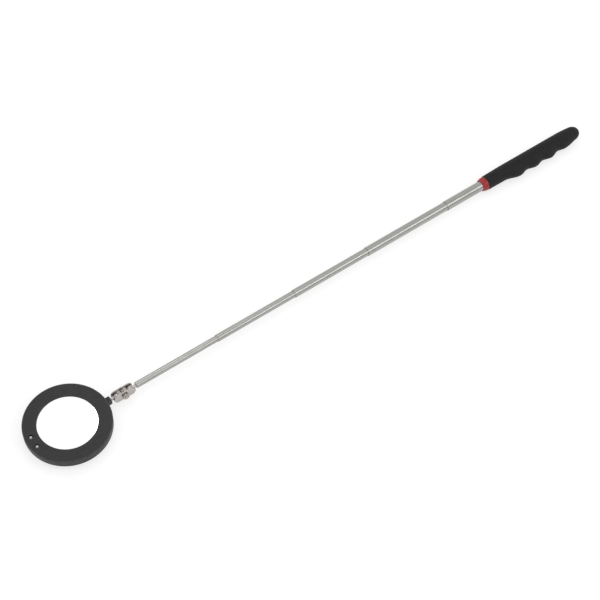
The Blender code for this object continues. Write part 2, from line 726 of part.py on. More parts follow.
def make_clamp_screw(group):
    """A pan-head machine screw through both plates, with its head on the far side."""
    face = PLATE_GAP / 2 + PLATE_T + STACK_GAP
    length = CLAMP_HEAD_T + 2 * face + NUT_T + SCREW_TIP
    profile = [
        (0.0, length),
        (CLAMP_SCREW_R * 0.7, length),
        (CLAMP_SCREW_R, length - CLAMP_SCREW_R * 0.3),
        (CLAMP_SCREW_R, CLAMP_HEAD_T),
        (CLAMP_HEAD_R, CLAMP_HEAD_T),
        (CLAMP_HEAD_R, CLAMP_HEAD_T * 0.45),
        (CLAMP_HEAD_R * 0.85, CLAMP_HEAD_T * 0.12),
        (CLAMP_HEAD_R * 0.55, 0.0),
        (0.0, 0.0),
    ]
    turn = (90.0, 0.0, 0.0)
    at_y = face + CLAMP_HEAD_T
    screw = place(turned("clamp_screw", profile, 24), group, CLAMP_AT, y=at_y, turn=turn)
    for index, quarter in enumerate((45.0, 135.0)):
        size = (CLAMP_HEAD_R * 1.2, CLAMP_HEAD_R * 0.3, CLAMP_HEAD_T * 1.1)
        arm = place(box(f"clamp_screw_recess_{index}", size), group, CLAMP_AT, y=at_y)
        arm.rotation_euler = (math.radians(90.0), math.radians(quarter), 0.0)
        cut(screw, arm)
    shade_round(screw)
    return finish(screw, "zinc_steel")


def make_clamp_nut(group):
    face = PLATE_GAP / 2 + PLATE_T + STACK_GAP
    corner_r = NUT_ACROSS_FLATS / math.sqrt(3)
    bore_r = CLAMP_SCREW_R + NUT_BORE_CLEARANCE
    outlines = [circle(corner_r, sides=6), circle(bore_r, sides=24)]
    nut = place(plate("clamp_nut", outlines, face, face + NUT_T), group, CLAMP_AT, turn=(90.0, 0.0, 0.0))
    return finish(nut, "zinc_steel")


# ---------------------------------------------------------------- head


def make_front_housing(group):
    """Front face, rim and mirror seat in one moulding, with screw posts and the stud's boss."""
    edge = [
        (HEAD_R - FRONT_EDGE_R + r, FRONT_Z - FRONT_EDGE_R + h) for r, h in arc(FRONT_EDGE_R, 90, 0, 3)
    ]
    foot = [(HEAD_R - BACK_EDGE_R + r, BACK_Z + BACK_EDGE_R + h) for r, h in arc(BACK_EDGE_R, 0, -90, 3)]
    profile = [
        (OPENING_R + OPENING_CHAMFER, FRONT_Z),
        *edge,
        *foot,
        (RIM_INNER_R, BACK_Z),
        (RIM_INNER_R, PLATE_UNDER),
        (SEAT_R + SEAT_WALL_T, PLATE_UNDER),
        (SEAT_R + SEAT_WALL_T, SEAT_BOTTOM),
        (SEAT_R, SEAT_BOTTOM),
        (SEAT_R, FRONT_Z - LIP_T),
        (OPENING_R, FRONT_Z - LIP_T),
        (OPENING_R, FRONT_Z - OPENING_CHAMFER),
    ]
    housing = place(turned("front_housing", profile, ROUND), group, 0.0)
    into_plate = PLATE_UNDER + FRONT_PLATE_T / 2
    for index, degrees in enumerate(POST_ANGLES):
        x, y = polar(POST_RING_R, degrees)
        post = cylinder(f"cover_post_{index}", POST_R, COVER_TOP + STACK_GAP, into_plate)
        join(housing, place(post, group, x, y))
    for index, degrees in enumerate((180 - BOARD_POST_ANGLE, 180 + BOARD_POST_ANGLE)):
        x, y = polar(POST_RING_R, degrees)
        post = cylinder(f"board_post_{index}", BOARD_POST_R, BOARD_TOP + STACK_GAP, into_plate, TINY)
        join(housing, place(post, group, x, y))
    boss_length = BOSS_LENGTH + BOSS_INSIDE
    boss = box("stud_boss", (boss_length, BOSS_WIDTH, BOSS_HEIGHT))
    bevel = boss.modifiers.new("edges", "BEVEL")
    bevel.width = BOSS_EDGE_R
    bevel.segments = 3
    place(boss, group, HEAD_R - BOSS_INSIDE + boss_length / 2)
    room = cylinder("cover_room", RIM_INNER_R - SIDE_GAP / 2, BACK_Z - CUT_PAST, COVER_TOP + STACK_GAP, ROUND)
    cut(boss, place(room, group, 0.0))
    join(housing, boss)
    bore_r = STUD_R + STUD_CLEARANCE
    bore = cylinder("stud_bore", bore_r, -boss_length, boss_length, MEDIUM)
    cut(housing, place(bore, group, HEAD_R, turn=(0.0, 90.0, 0.0)))
    for index, degrees in enumerate(POST_ANGLES):
        x, y = polar(POST_RING_R, degrees)
        tip = BACK_Z + COVER_SCREW_LENGTH + 2 * STACK_GAP
        pilot = cylinder(f"cover_pilot_{index}", COVER_SCREW_R + STACK_GAP, BACK_Z, tip, TINY)
        cut(housing, place(pilot, group, x, y))
    for index, degrees in enumerate((180 - BOARD_POST_ANGLE, 180 + BOARD_POST_ANGLE)):
        x, y = polar(POST_RING_R, degrees)
        tip = BOARD_BOTTOM - STACK_GAP + BOARD_SCREW_LENGTH
        pilot = cylinder(f"board_pilot_{index}", SMALL_SCREW_R + STACK_GAP, BACK_Z, tip, TINY)
        cut(housing, place(pilot, group, x, y))
    for index, side in enumerate((-1, 1)):
        x, y = led_place(side)
        hole = cylinder(f"led_hole_{index}", LED_HOLE_R, PLATE_UNDER - CUT_PAST, FRONT_Z + CUT_PAST, 24)
        cut(housing, place(hole, group, x, y))
    shade_round(housing)
    return finish(housing, "head_plastic")


def led_place(side):
    """Where a lamp stands: both are the same distance from the middle, on the far side."""
    y = side * LED_SPACING / 2
    return -math.sqrt(LED_RING_R**2 - y**2), y


def make_mirror(group):
    profile = [
        (0.0, MIRROR_TOP),
        (MIRROR_R - MIRROR_BEVEL, MIRROR_TOP),
        (MIRROR_R, MIRROR_TOP - MIRROR_BEVEL),
        (MIRROR_R, MIRROR_TOP - MIRROR_T),
        (0.0, MIRROR_TOP - MIRROR_T),
    ]
    return finish(place(turned("mirror_glass", profile, ROUND), group, 0.0), "mirror_glass")


def make_pad(group):
    pad = cylinder("mirror_pad", PAD_D / 2, PAD_TOP - PAD_T, PAD_TOP, MEDIUM)
    return finish(place(pad, group, 0.0), "foam")


def knob_rest_y():
    """The switch's knob rests at one end of its travel, off."""
    return -SWITCH_TRAVEL / 2


def make_back_cover(group):
    """The back disc with the battery box moulded on its inside."""
    cover_r = RIM_INNER_R - SIDE_GAP
    cover = place(cylinder("back_cover", cover_r, BACK_Z, COVER_TOP, ROUND), group, 0.0)
    below = BACK_Z - CUT_PAST
    half = CELL_PITCH / 2
    shell = [capsule(BOX_R, half, along_y=True)]
    join(cover, place(plate("battery_box", shell, BACK_Z + COVER_T / 2, CEILING_TOP), group, 0.0))
    pocket = [capsule(DOOR_OPENING_R, half, along_y=True)]
    cut(cover, place(plate("door_pocket", pocket, below, DOOR_TOP + STACK_GAP), group, 0.0))
    well = [capsule(WELL_R, half, along_y=True)]
    cut(cover, place(plate("cell_well", well, below, CEILING_TOP - CEILING_T), group, 0.0))
    post_top = CEILING_TOP - CEILING_T / 2
    post = cylinder("door_post", DOOR_POST_R, DOOR_TOP + STACK_GAP, post_top)
    join(cover, place(post, group, DOOR_POST_X))
    pilot_top = BACK_Z + DOOR_SCREW_LENGTH + 2 * STACK_GAP
    pilot = cylinder("door_pilot", SMALL_SCREW_R + STACK_GAP, below, pilot_top, TINY)
    cut(cover, place(pilot, group, DOOR_POST_X))
    notch_low = CONTACT_TOP - CONTACT_T - 2 * STACK_GAP
    notch_high = CEILING_TOP - CEILING_T
    notch_size = (BOX_R - WELL_R + NOTCH_REACH, CONTACT_W + 2 * SIDE_GAP, notch_high - notch_low)
    for index, side in enumerate((-1, 1)):
        notch = box(f"contact_notch_{index}", notch_size)
        middle = -(BOX_R + WELL_R) / 2
        cut(cover, place(notch, group, middle, side * CONTACT_Y, (notch_high + notch_low) / 2))
    for index, degrees in enumerate(POST_ANGLES):
        x, y = polar(POST_RING_R, degrees)
        hole = countersink(
            f"cover_hole_{index}", group, x, y, COVER_SCREW_HEAD_R, COVER_SCREW_R, COVER_TOP + CUT_PAST
        )
        cut(cover, hole)
    dish_r, dish_half, dish_depth = SWITCH_DISH
    dish = plate("switch_dish", [capsule(dish_r, dish_half, along_y=True)], below, BACK_Z + dish_depth)
    cut(cover, place(dish, group, -LED_RING_R))
    slot_y = KNOB_SIZE[1] + SWITCH_TRAVEL + 2 * SIDE_GAP
    slot = box("switch_slot", (KNOB_SIZE[0] + 2 * SIDE_GAP, slot_y, 4 * COVER_T))
    cut(cover, place(slot, group, -LED_RING_R, z=BACK_Z))
    relief_size = (CLIP_T + CLIP_ROOM[0], 2 * CLIP_R + CLIP_ROOM[1], COVER_T)
    relief = box("clip_relief", relief_size)
    relief_low = min(COVER_TOP - CLIP_ROOM[2], -CLIP_R - STACK_GAP)
    cut(cover, place(relief, group, clip_station(), z=relief_low + COVER_T / 2))
    return finish(cover, "head_plastic")


def make_battery_door(group):
    half = CELL_PITCH / 2
    outline = [capsule(DOOR_R, half, along_y=True)]
    door = place(plate("battery_door", outline, BACK_Z, DOOR_TOP), group, 0.0)
    hole = countersink(
        "door_hole", group, DOOR_POST_X, 0.0, SMALL_SCREW_HEAD_R, SMALL_SCREW_R, DOOR_TOP + CUT_PAST
    )
    cut(door, hole)
    width, length, depth = DOOR_GROOVE
    for index in range(DOOR_GROOVE_COUNT):
        groove = box(f"door_groove_{index}", (width, length, 2 * depth))
        cut(door, place(groove, group, FIRST_DOOR_GROOVE_X - DOOR_GROOVE_PITCH * index, z=BACK_Z))
    return finish(door, "head_plastic")


def make_cell(name, group, side, flipped):
    """A coin cell: the can is the full width and the cap on its other face is smaller."""
    cell_r = CELL_D / 2
    cap_in, step = CELL_CAP_STEP
    cap_r = cell_r - cap_in
    profile = [
        (0.0, CELL_T / 2),
        (cap_r, CELL_T / 2),
        (cap_r, CELL_T / 2 - step),
        (cell_r - step, CELL_T / 2 - step),
        (cell_r, CELL_T / 2 - 2 * step),
        (cell_r, -CELL_T / 2),
        (0.0, -CELL_T / 2),
    ]
    turn = (180.0, 0.0, 0.0) if flipped else (0.0, 0.0, 0.0)
    cell = turned(name, profile, MEDIUM)
    shade_round(cell)
    place(cell, group, 0.0, side * CELL_PITCH / 2, CELL_TOP - CELL_T / 2, turn)
    return finish(cell, "cell_steel")


def make_contact(name, group, side):
    """A strip over one cell, which runs out through a notch in the box."""
    outer_end = BOX_R + CONTACT_REACH
    strip = box(name, (CONTACT_PAST_MIDDLE + outer_end, CONTACT_W, CONTACT_T))
    middle = (CONTACT_PAST_MIDDLE - outer_end) / 2
    place(strip, group, middle, side * CONTACT_Y, CONTACT_TOP - CONTACT_T / 2)
    return finish(strip, "plated_steel")


def make_series_link(group):
    """The strip on the door that joins the two cells."""
    outline = [capsule(CONTACT_W / 2, CELL_PITCH / 2, along_y=True)]
    link = plate("series_link", outline, LINK_TOP - CONTACT_T, LINK_TOP)
    return finish(place(link, group, 0.0), "plated_steel")


def make_board(group):
    """A curved board between the seat wall and the rim, under the lamps."""
    low, high = 180 - BOARD_HALF_ANGLE, 180 + BOARD_HALF_ANGLE
    edge = arc(BOARD_OUTER_R, low, high, 14) + arc(BOARD_INNER_R, high, low, 14)
    holes = []
    for side in (-1, 1):
        x, y = led_place(side)
        for lead in (-1, 1):
            holes.append(circle(LEAD_R + STACK_GAP, x, y + lead * LEAD_PITCH / 2, 8))
        post_x, post_y = polar(POST_RING_R, 180 - side * BOARD_POST_ANGLE)
        holes.append(circle(SMALL_SCREW_R + STACK_GAP, post_x, post_y, TINY))
    board = plate("circuit_board", [edge, *holes], BOARD_BOTTOM, BOARD_TOP)
    return finish(place(board, group, 0.0), "board_laminate")


def make_led(name, group, side):
    """A lamp on two leads through the board, a little below the front face."""
    x, y = led_place(side)
    foot = BOARD_TOP + STACK_GAP
    top = FRONT_Z - LED_RECESS
    dome = [(r, top - LED_R + h) for r, h in arc(LED_R, 90, 0, 4)]
    profile = [
        (0.0, top),
        *dome[1:],
        (LED_R, foot + LED_FLANGE_T),
        (LED_FLANGE_R, foot + LED_FLANGE_T),
        (LED_FLANGE_R, foot),
        (0.0, foot),
    ]
    led = place(turned(name, profile, SMALL), group, x, y)
    for lead in (-1, 1):
        pin = cylinder(f"{name}_lead_{lead}", LEAD_R, BOARD_BOTTOM - LEAD_TAIL, foot + LEAD_ROOT, 8)
        join(led, place(pin, group, x, y + lead * LEAD_PITCH / 2))
    shade_round(led)
    return finish(led, "led_resin")


def make_board_screw(name, group, degrees):
    """A pan-head screw up through the board into its post."""
    x, y = polar(POST_RING_R, degrees)
    head_t = SMALL_SCREW_HEAD_T
    face_z = BOARD_BOTTOM - STACK_GAP - head_t
    length = head_t + BOARD_SCREW_LENGTH - 2 * STACK_GAP
    profile = [
        (0.0, length),
        (SMALL_SCREW_R, length),
        (SMALL_SCREW_R, head_t),
        (SMALL_SCREW_HEAD_R, head_t),
        (SMALL_SCREW_HEAD_R * 0.8, 0.0),
        (0.0, 0.0),
    ]
    screw = place(turned(name, profile, TINY), group, x, y, face_z)
    return finish(screw, "zinc_steel")


def make_resistor(group):
    block = box("resistor", RESISTOR_SIZE)
    z = BOARD_BOTTOM - STACK_GAP - RESISTOR_SIZE[2] / 2
    return finish(place(block, group, -LED_RING_R, RESISTOR_Y, z), "head_plastic")


def make_switch_body(group):
    body = box("switch_body", SWITCH_SIZE)
    place(body, group, -LED_RING_R, 0.0, (SWITCH_TOP + SWITCH_BOTTOM) / 2)
    slot_size = (
        STEM_SIZE[0] + 2 * STACK_GAP,
        STEM_SIZE[1] + SWITCH_TRAVEL + 2 * STACK_GAP,
        SWITCH_SIZE[2] * 1.2,
    )
    slot = box("stem_slot", slot_size)
    cut(body, place(slot, group, -LED_RING_R, 0.0, SWITCH_BOTTOM))
    return finish(body, "plated_steel")


def make_switch_slider(group):
    """The knob in the cover's slot, with the stem that slides in the switch."""
    knob_top = SWITCH_BOTTOM - STACK_GAP
    knob_low = BACK_Z + KNOB_BELOW_BACK
    knob = box("switch_slider", (*KNOB_SIZE, knob_top - knob_low))
    place(knob, group, -LED_RING_R, 0.0, (knob_top + knob_low) / 2)
    stem_top = SWITCH_BOTTOM + SWITCH_SIZE[2] * 0.6 - STACK_GAP
    stem_low = knob_top - STEM_ROOT
    stem = box("switch_stem", (*STEM_SIZE, stem_top - stem_low))
    join(knob, place(stem, group, -LED_RING_R, 0.0, (stem_top + stem_low) / 2))
    for index in (-1, 0, 1):
        groove = box(f"knob_groove_{index + 1}", (KNOB_SIZE[0] * 2, KNOB_GROOVE, KNOB_GROOVE))
        cut(knob, place(groove, group, -LED_RING_R, index * KNOB_GROOVE_PITCH, knob_low))
    return finish(knob, "red_plastic")


def make_wire(name, group, side, colour):
    """A lead from a contact strip to the board's inner edge."""
    start_x = -(BOX_R + CONTACT_REACH + SIDE_GAP)
    end_y = side * CONTACT_Y * 0.6
    end_x = -math.sqrt(BOARD_INNER_R**2 - end_y**2) + SIDE_GAP
    middle_z = CONTACT_TOP - CONTACT_T / 2
    curve = bpy.data.curves.new(name, "CURVE")
    curve.dimensions = "3D"
    curve.bevel_depth = WIRE_R
    curve.bevel_resolution = 2
    curve.use_fill_caps = True
    steps = 10
    spline = curve.splines.new("POLY")
    spline.points.add(steps)
    for i, point in enumerate(spline.points):
        share = i / steps
        x = start_x + (end_x - start_x) * share
        ease = (1 - math.cos(math.pi * share)) / 2
        bow = side * WIRE_BOW[0] * math.sin(math.pi * share)
        y = side * CONTACT_Y + (end_y - side * CONTACT_Y) * ease + bow
        z = middle_z - WIRE_BOW[1] * math.sin(math.pi * share)
        point.co = (x, y, z, 1.0)
    wire = bpy.data.objects.new(name, curve)
    PARTS.objects.link(wire)
    return finish(place(wire, group, 0.0), colour)


# ---------------------------------------------------------------- assembly


def main():
    handle = pivot("handle", GRIP_AT)
    make_grip(handle)
    make_collar(handle)
    make_tube(1, handle)
    for number in range(2, TUBE_COUNT + 1):
        section = pivot(f"section_{number}", tube_front(number))
        make_tube(number, section)
        make_sleeve(number, section)

    make_arm_stud(pivot("arm_stud", ARM_BALL_AT))
    clamp = pivot("clamp", ARM_BALL_AT, roll=CLAMP_ROLL)
    make_clamp_plate("clamp_plate_near", clamp, -1)
    make_clamp_plate("clamp_plate_far", clamp, 1)
    make_clamp_screw(clamp)
    make_clamp_nut(clamp)
    make_head_stud(pivot("head_stud", HEAD_BALL_AT, roll=CLAMP_ROLL))

    head = pivot("head", 0.0)
    make_front_housing(head)
    make_mirror(head)
    make_pad(head)
    make_back_cover(head)
    make_battery_door(head)
    make_stud_clip(head)
    for index, degrees in enumerate(POST_ANGLES):
        x, y = polar(POST_RING_R, degrees)
        name = f"cover_screw_{index + 1}"
        countersunk_screw(name, head, x, y, COVER_SCREW_HEAD_R, COVER_SCREW_R, COVER_SCREW_LENGTH)
    countersunk_screw(
        "door_screw", head, DOOR_POST_X, 0.0, SMALL_SCREW_HEAD_R, SMALL_SCREW_R, DOOR_SCREW_LENGTH
    )
    make_cell("coin_cell_1", head, -1, False)
    make_cell("coin_cell_2", head, 1, True)
    make_contact("negative_contact", head, -1)
    make_contact("positive_contact", head, 1)
    make_series_link(head)
    make_board(head)
    make_board_screw("board_screw_1", head, 180 - BOARD_POST_ANGLE)
    make_board_screw("board_screw_2", head, 180 + BOARD_POST_ANGLE)
    make_led("led_1", head, -1)
    make_led("led_2", head, 1)
    make_resistor(head)
    make_switch_body(head)
    make_wire("wire_black", head, -1, "black_insulation")
    make_wire("wire_red", head, 1, "red_insulation")

    slider = pivot("switch", 0.0)
    slider.location.y = knob_rest_y()
    make_switch_slider(slider)


main()
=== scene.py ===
"""Looks of a telescopic inspection mirror with a lit round head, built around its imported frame.

Lengths are in metres, and MM turns a value in millimetres into them. +X runs along the arm from
the head to the grip, +Z is the way that the mirror faces, and every place is read from the frame.
"""

import logging
import math
from collections.abc import Iterable, Mapping, Sequence
from dataclasses import dataclass
from enum import Enum
from functools import cache
from typing import Any

import bmesh
import bpy
from mathutils import Matrix, Vector


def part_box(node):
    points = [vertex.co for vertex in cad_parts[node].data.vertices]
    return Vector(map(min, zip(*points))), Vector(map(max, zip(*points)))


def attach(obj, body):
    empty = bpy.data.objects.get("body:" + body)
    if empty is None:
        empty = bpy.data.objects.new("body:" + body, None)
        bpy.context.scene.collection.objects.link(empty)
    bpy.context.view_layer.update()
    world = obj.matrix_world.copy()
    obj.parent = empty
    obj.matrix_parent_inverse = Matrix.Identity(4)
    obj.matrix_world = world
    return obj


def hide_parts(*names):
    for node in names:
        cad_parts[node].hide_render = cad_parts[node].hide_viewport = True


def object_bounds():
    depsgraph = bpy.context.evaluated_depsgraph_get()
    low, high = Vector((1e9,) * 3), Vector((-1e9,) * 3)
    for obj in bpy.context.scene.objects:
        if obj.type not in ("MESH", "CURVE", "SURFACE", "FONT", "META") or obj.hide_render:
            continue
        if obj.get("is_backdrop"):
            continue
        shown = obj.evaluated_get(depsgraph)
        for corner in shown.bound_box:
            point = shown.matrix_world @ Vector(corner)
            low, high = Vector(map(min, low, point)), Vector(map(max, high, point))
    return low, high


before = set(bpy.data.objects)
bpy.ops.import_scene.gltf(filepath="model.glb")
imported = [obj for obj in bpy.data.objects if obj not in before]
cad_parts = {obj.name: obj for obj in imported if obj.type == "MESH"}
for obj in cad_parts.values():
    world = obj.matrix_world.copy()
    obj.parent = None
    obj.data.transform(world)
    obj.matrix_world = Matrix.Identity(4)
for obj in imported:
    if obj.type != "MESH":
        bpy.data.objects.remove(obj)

MM = 0.001
WELD = 0.001 * MM  # points nearer than this are one point
SHARP_ANGLE = math.radians(32)
THROUGH = 2.0 * MM  # how far a cutter runs past the face it cuts
RECESS_TAPER = 0.45  # width of a screwdriver's recess at its bottom, as a share of its top
CLAMP_ROLL = -11.0  # degrees that the clamp is turned about the arm
LOG = logging.getLogger("inspection_mirror")

Profile = list[tuple[float, float]]
Ring = list[Vector]


class Facing(Enum):
    """Which way a turned piece's own axis points in the assembly, as (turn about X, turn about Y)."""

    UP = (0.0, 0.0)
    DOWN = (180.0, 0.0)
    TO_GRIP = (0.0, 90.0)
    TO_HEAD = (0.0, -90.0)
    NEAR_SIDE = (90.0 + CLAMP_ROLL, 0.0)
    FAR_SIDE = (-90.0 + CLAMP_ROLL, 0.0)

    def at(self, place: Vector) -> Matrix:
        """The matrix that puts a piece made about the origin at a place, facing this way."""
        about_x, about_y = (math.radians(angle) for angle in self.value)
        turn = Matrix.Rotation(about_x, 4, "X") @ Matrix.Rotation(about_y, 4, "Y")
        return Matrix.Translation(place) @ turn


class Boolean(Enum):
    """How one solid changes another."""

    CUT = "DIFFERENCE"
    JOIN = "UNION"
    KEEP_INSIDE = "INTERSECT"


@dataclass(frozen=True)
class Extent:
    """The box of a CAD node at rest: where the piece lies and how big it is."""

    low: Vector
    high: Vector

    @classmethod
    @cache
    def of(cls, node: str) -> "Extent":
        """The box of the node with that name."""
        return cls(*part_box(node))

    @property
    def middle(self) -> Vector:
        """The middle of the box."""
        return (self.low + self.high) / 2

    @property
    def size(self) -> Vector:
        """The box's three sides."""
        return self.high - self.low


# ------------------------------------------------------------------ mesh tools


def object_from(name: str, mesh: bmesh.types.BMesh) -> bpy.types.Object:
    """Welds a mesh, turns its faces outwards and makes it an object of the scene.

    Args:
        name: The object's name.
        mesh: The closed mesh, which is freed.

    Returns:
        The new object, at the origin.
    """
    bmesh.ops.remove_doubles(mesh, verts=mesh.verts, dist=WELD)
    bmesh.ops.recalc_face_normals(mesh, faces=mesh.faces)
    data = bpy.data.meshes.new(name)
    mesh.to_mesh(data)
    mesh.free()
    made = bpy.data.objects.new(name, data)
    bpy.context.scene.collection.objects.link(made)
    return made


def loft(name: str, rings: Sequence[Ring], loop: bool = False, caps: bool = False) -> bpy.types.Object:
    """Builds a closed skin through rings that all have the same number of points.

    Args:
        name: The object's name.
        rings: The rings in order. A ring whose points coincide becomes a pole.
        loop: True joins the last ring to the first.
        caps: True closes the first and the last ring with a face each.

    Returns:
        The new object.
    """
    mesh = bmesh.new()
    rows = [[mesh.verts.new(point) for point in ring] for ring in rings]
    pairs = list(zip(rows, rows[1:]))
    if loop:
        pairs.append((rows[-1], rows[0]))
    if caps:
        mesh.faces.new(rows[0])
        mesh.faces.new(rows[-1])
    for row, following in pairs:
        for i, corner in enumerate(row):
            j = (i + 1) % len(row)
            mesh.faces.new((corner, row[j], following[j], following[i]))
    return object_from(name, mesh)


def slot_ring(
    radius: float, height: float, half: float = 0.0, steps: int = 96, side_steps: int = 16
) -> Ring:
    """Points round a circle, or round a slot along X.

    Args:
        radius: Of the circle, or of the slot's round ends.
        height: Of the ring above the origin.
        half: Half the distance between the middles of the slot's ends, or 0 for a circle.
        steps: Points round the circle.
        side_steps: Points along each straight side of the slot.

    Returns:
        The ring, anticlockwise.
    """
    ring = []
    for end in (1, -1):
        for i in range(steps // 2):
            angle = math.pi * (2 * i / steps - end / 2)
            ring.append(Vector((end * half + radius * math.cos(angle), radius * math.sin(angle), height)))
        if half > 0.0:
            for i in range(side_steps):
                along = end * half * (1 - 2 * i / side_steps)
                ring.append(Vector((along, end * radius, height)))
    return ring


def turned(
    name: str, profile: Profile, facing: Matrix | None = None, steps: int = 96, half: float = 0.0
) -> bpy.types.Object:
    """Turns a profile of (radius, height) about its axis, or draws it out into a slot.

    Args:
        name: The object's name.
        profile: From pole to pole, or a closed outline off the axis, which makes a ring.
        facing: Where the piece goes, or None to leave it at the origin facing up.
        steps: Sides of the round.
        half: Half the slot's length between the middles of its ends, along Y once placed.

    Returns:
        The new object.
    """
    rings = [slot_ring(radius, height, half, steps) for radius, height in profile]
    piece = loft(name, rings, loop=profile[0][0] > 0.0)
    if half > 0.0:
        piece.data.transform(Matrix.Rotation(math.radians(90), 4, "Z"))
    if facing is not None:
        piece.data.transform(facing)
    return piece


def over(place: Vector) -> Matrix:
    """The matrix that stands a piece over a place and leaves its heights as they are."""
    return Facing.UP.at(Vector((place.x, place.y, 0.0)))


def rod(
    name: str, radius: float, low: float, high: float, facing: Matrix, steps: int = 96, half: float = 0.0
) -> bpy.types.Object:
    """A plain cylinder between two heights, or a slot.

    Args:
        name: The object's name.
        radius: Of the cylinder, or of the slot's round ends.
        low: Height of its lower face.
        high: Height of its upper face.
        facing: Where the piece goes.
        steps: Sides of the round.
        half: Half the slot's length between the middles of its ends, or 0 for a cylinder.

    Returns:
        The new object.
    """
    return turned(name, [(0.0, high), (radius, high), (radius, low), (0.0, low)], facing, steps, half)


def filleted(corners: Sequence[tuple[float, float, float]], loop: bool, steps: int = 5) -> Profile:
    """Rounds the corners of a profile.

    Args:
        corners: (radius, height, fillet) of each corner. A fillet of 0 leaves it sharp.
        loop: True for a closed outline, whose first and last corners are rounded too.
        steps: Stretches in each rounding.

    Returns:
        The profile, with a point just before and after each rounding, which keeps the flats flat.
    """
    points: Profile = []
    count = len(corners)
    for index, (radius, height, fillet) in enumerate(corners):
        here = Vector((radius, height))
        if fillet == 0.0 or (not loop and index in (0, count - 1)):
            points.append((radius, height))
            continue
        to_last = (Vector(corners[index - 1][:2]) - here).normalized()
        to_next = (Vector(corners[(index + 1) % count][:2]) - here).normalized()
        half_angle = to_last.angle(to_next) / 2
        reach = fillet / math.tan(half_angle)
        centre = here + (to_last + to_next).normalized() * fillet / math.sin(half_angle)
        first = here + to_last * reach - centre
        last = here + to_next * reach - centre
        sweep = first.angle(last)
        support = fillet / 6
        points.append(tuple(centre + first + to_last * support))
        for step in range(steps + 1):
            share = step / steps
            arm = first * math.sin((1 - share) * sweep) + last * math.sin(share * sweep)
            points.append(tuple(centre + arm / math.sin(sweep)))
        points.append(tuple(centre + last + to_next * support))
    return points


def block(name: str, size: Vector, middle: Vector, fillet: float = 0.0) -> bpy.types.Object:
    """A box with rounded edges.

    Args:
        name: The object's name.
        size: Its three sides.
        middle: Where its middle goes.
        fillet: Radius of its edges, or 0 to leave them sharp.

    Returns:
        The new object.
    """
    mesh = bmesh.new()
    bmesh.ops.create_cube(mesh, size=1.0)
    bmesh.ops.scale(mesh, vec=size, verts=mesh.verts)
    if fillet > 0.0:
        bmesh.ops.bevel(
            mesh, geom=mesh.edges[:], offset=fillet, segments=4, profile=0.5, affect="EDGES"
        )
    bmesh.ops.translate(mesh, vec=middle, verts=mesh.verts)
    return object_from(name, mesh)


def cross_cutter(name: str, width: float, reach: float, depth: float, facing: Matrix) -> bpy.types.Object:
    """The tapered cross that a screwdriver's recess is cut with.

    Args:
        name: The object's name.
        width: Of each arm of the cross.
        reach: From the middle to the end of an arm, at the face.
        depth: Of the recess.
        facing: Where the face of the screw is, and the way it faces.

    Returns:
        The new object.
    """
    half = width / 2
    quarter = [(reach, -half), (reach, half), (half, half)]
    outline = [
        Matrix.Rotation(math.radians(90 * turn), 2) @ Vector(point)
        for turn in range(4)
        for point in quarter
    ]
    rings = []
    for height, taper in ((THROUGH, 1.0), (0.0, 1.0), (-depth, RECESS_TAPER)):
        rings.append([Vector((p.x * taper, p.y * taper, height)) for p in outline])
    cutter = loft(name, rings, caps=True)
    cutter.data.transform(facing)
    return cutter


def apply_modifiers(piece: bpy.types.Object) -> bpy.types.Object:
    """Gives a piece the mesh that its modifiers make, and drops them."""
    graph = bpy.context.evaluated_depsgraph_get()
    before = piece.data
    piece.data = bpy.data.meshes.new_from_object(piece.evaluated_get(graph), depsgraph=graph)
    piece.modifiers.clear()
    bpy.data.meshes.remove(before)
    piece.data.name = piece.name
    return piece


def combine(target: bpy.types.Object, how: Boolean, *others: bpy.types.Object) -> bpy.types.Object:
    """Cuts other solids out of a target, joins them to it, or keeps what lies inside them.

    Args:
        target: The solid to change.
        how: What is done with each of the others.
        *others: The other solids, which are used up.

    Returns:
        The target.
    """
    for other in others:
        modifier = target.modifiers.new(other.name, "BOOLEAN")
        modifier.operation = how.value
        modifier.object = other
    apply_modifiers(target)
    for other in others:
        bpy.data.objects.remove(other)
    return target


def smoothed(piece: bpy.types.Object) -> bpy.types.Object:
    """Shades the rounded stretches of a piece smooth, and keeps its flats flat."""
    piece.data.shade_smooth()
    piece.data.set_sharp_from_angle(angle=SHARP_ANGLE)
    modifier = piece.modifiers.new("flats", "WEIGHTED_NORMAL")
    modifier.keep_sharp = True
    return apply_modifiers(piece)


def mark_edges(piece: bpy.types.Object, narrow: float = 0.6 * MM) -> bpy.types.Object:
    """Marks the narrow outward-turning faces of a piece, which is where handling rubs it.

    Args:
        piece: The piece, which gets a face attribute named "edge" from 0 to 1.
        narrow: A face wider than this is never an edge.

    Returns:
        The piece.
    """
    mesh = bmesh.new()
    mesh.from_mesh(piece.data)
    values = []
    for face in mesh.faces:
        width = 2 * face.calc_area() / face.calc_perimeter()
        bend = sum(max(0.0, edge.calc_face_angle_signed(0.0)) for edge in face.edges)
        values.append(min(1.0, bend / math.radians(25)) if width < narrow else 0.0)
    mesh.free()
    layer = piece.data.attributes.new("edge", "FLOAT", "FACE")
    layer.data.foreach_set("value", values)
    return piece


# ------------------------------------------------------------------ node tools


def add_node(
    tree: bpy.types.NodeTree, kind: str, inputs: Mapping[Any, Any] | None = None, **settings: Any
) -> bpy.types.Node:
    """Adds a node with its settings and its links.

    Args:
        tree: The tree that it goes in.
        kind: The node's type.
        inputs: By input name or number, a value to set or an output socket to link.
        **settings: The node's own properties.

    Returns:
        The new node.
    """
    node = tree.nodes.new(kind)
    for setting, value in settings.items():
        setattr(node, setting, value)
    for key, value in (inputs or {}).items():
        if isinstance(value, bpy.types.NodeSocket):
            tree.links.new(value, node.inputs[key])
        else:
            node.inputs[key].default_value = value
    return node


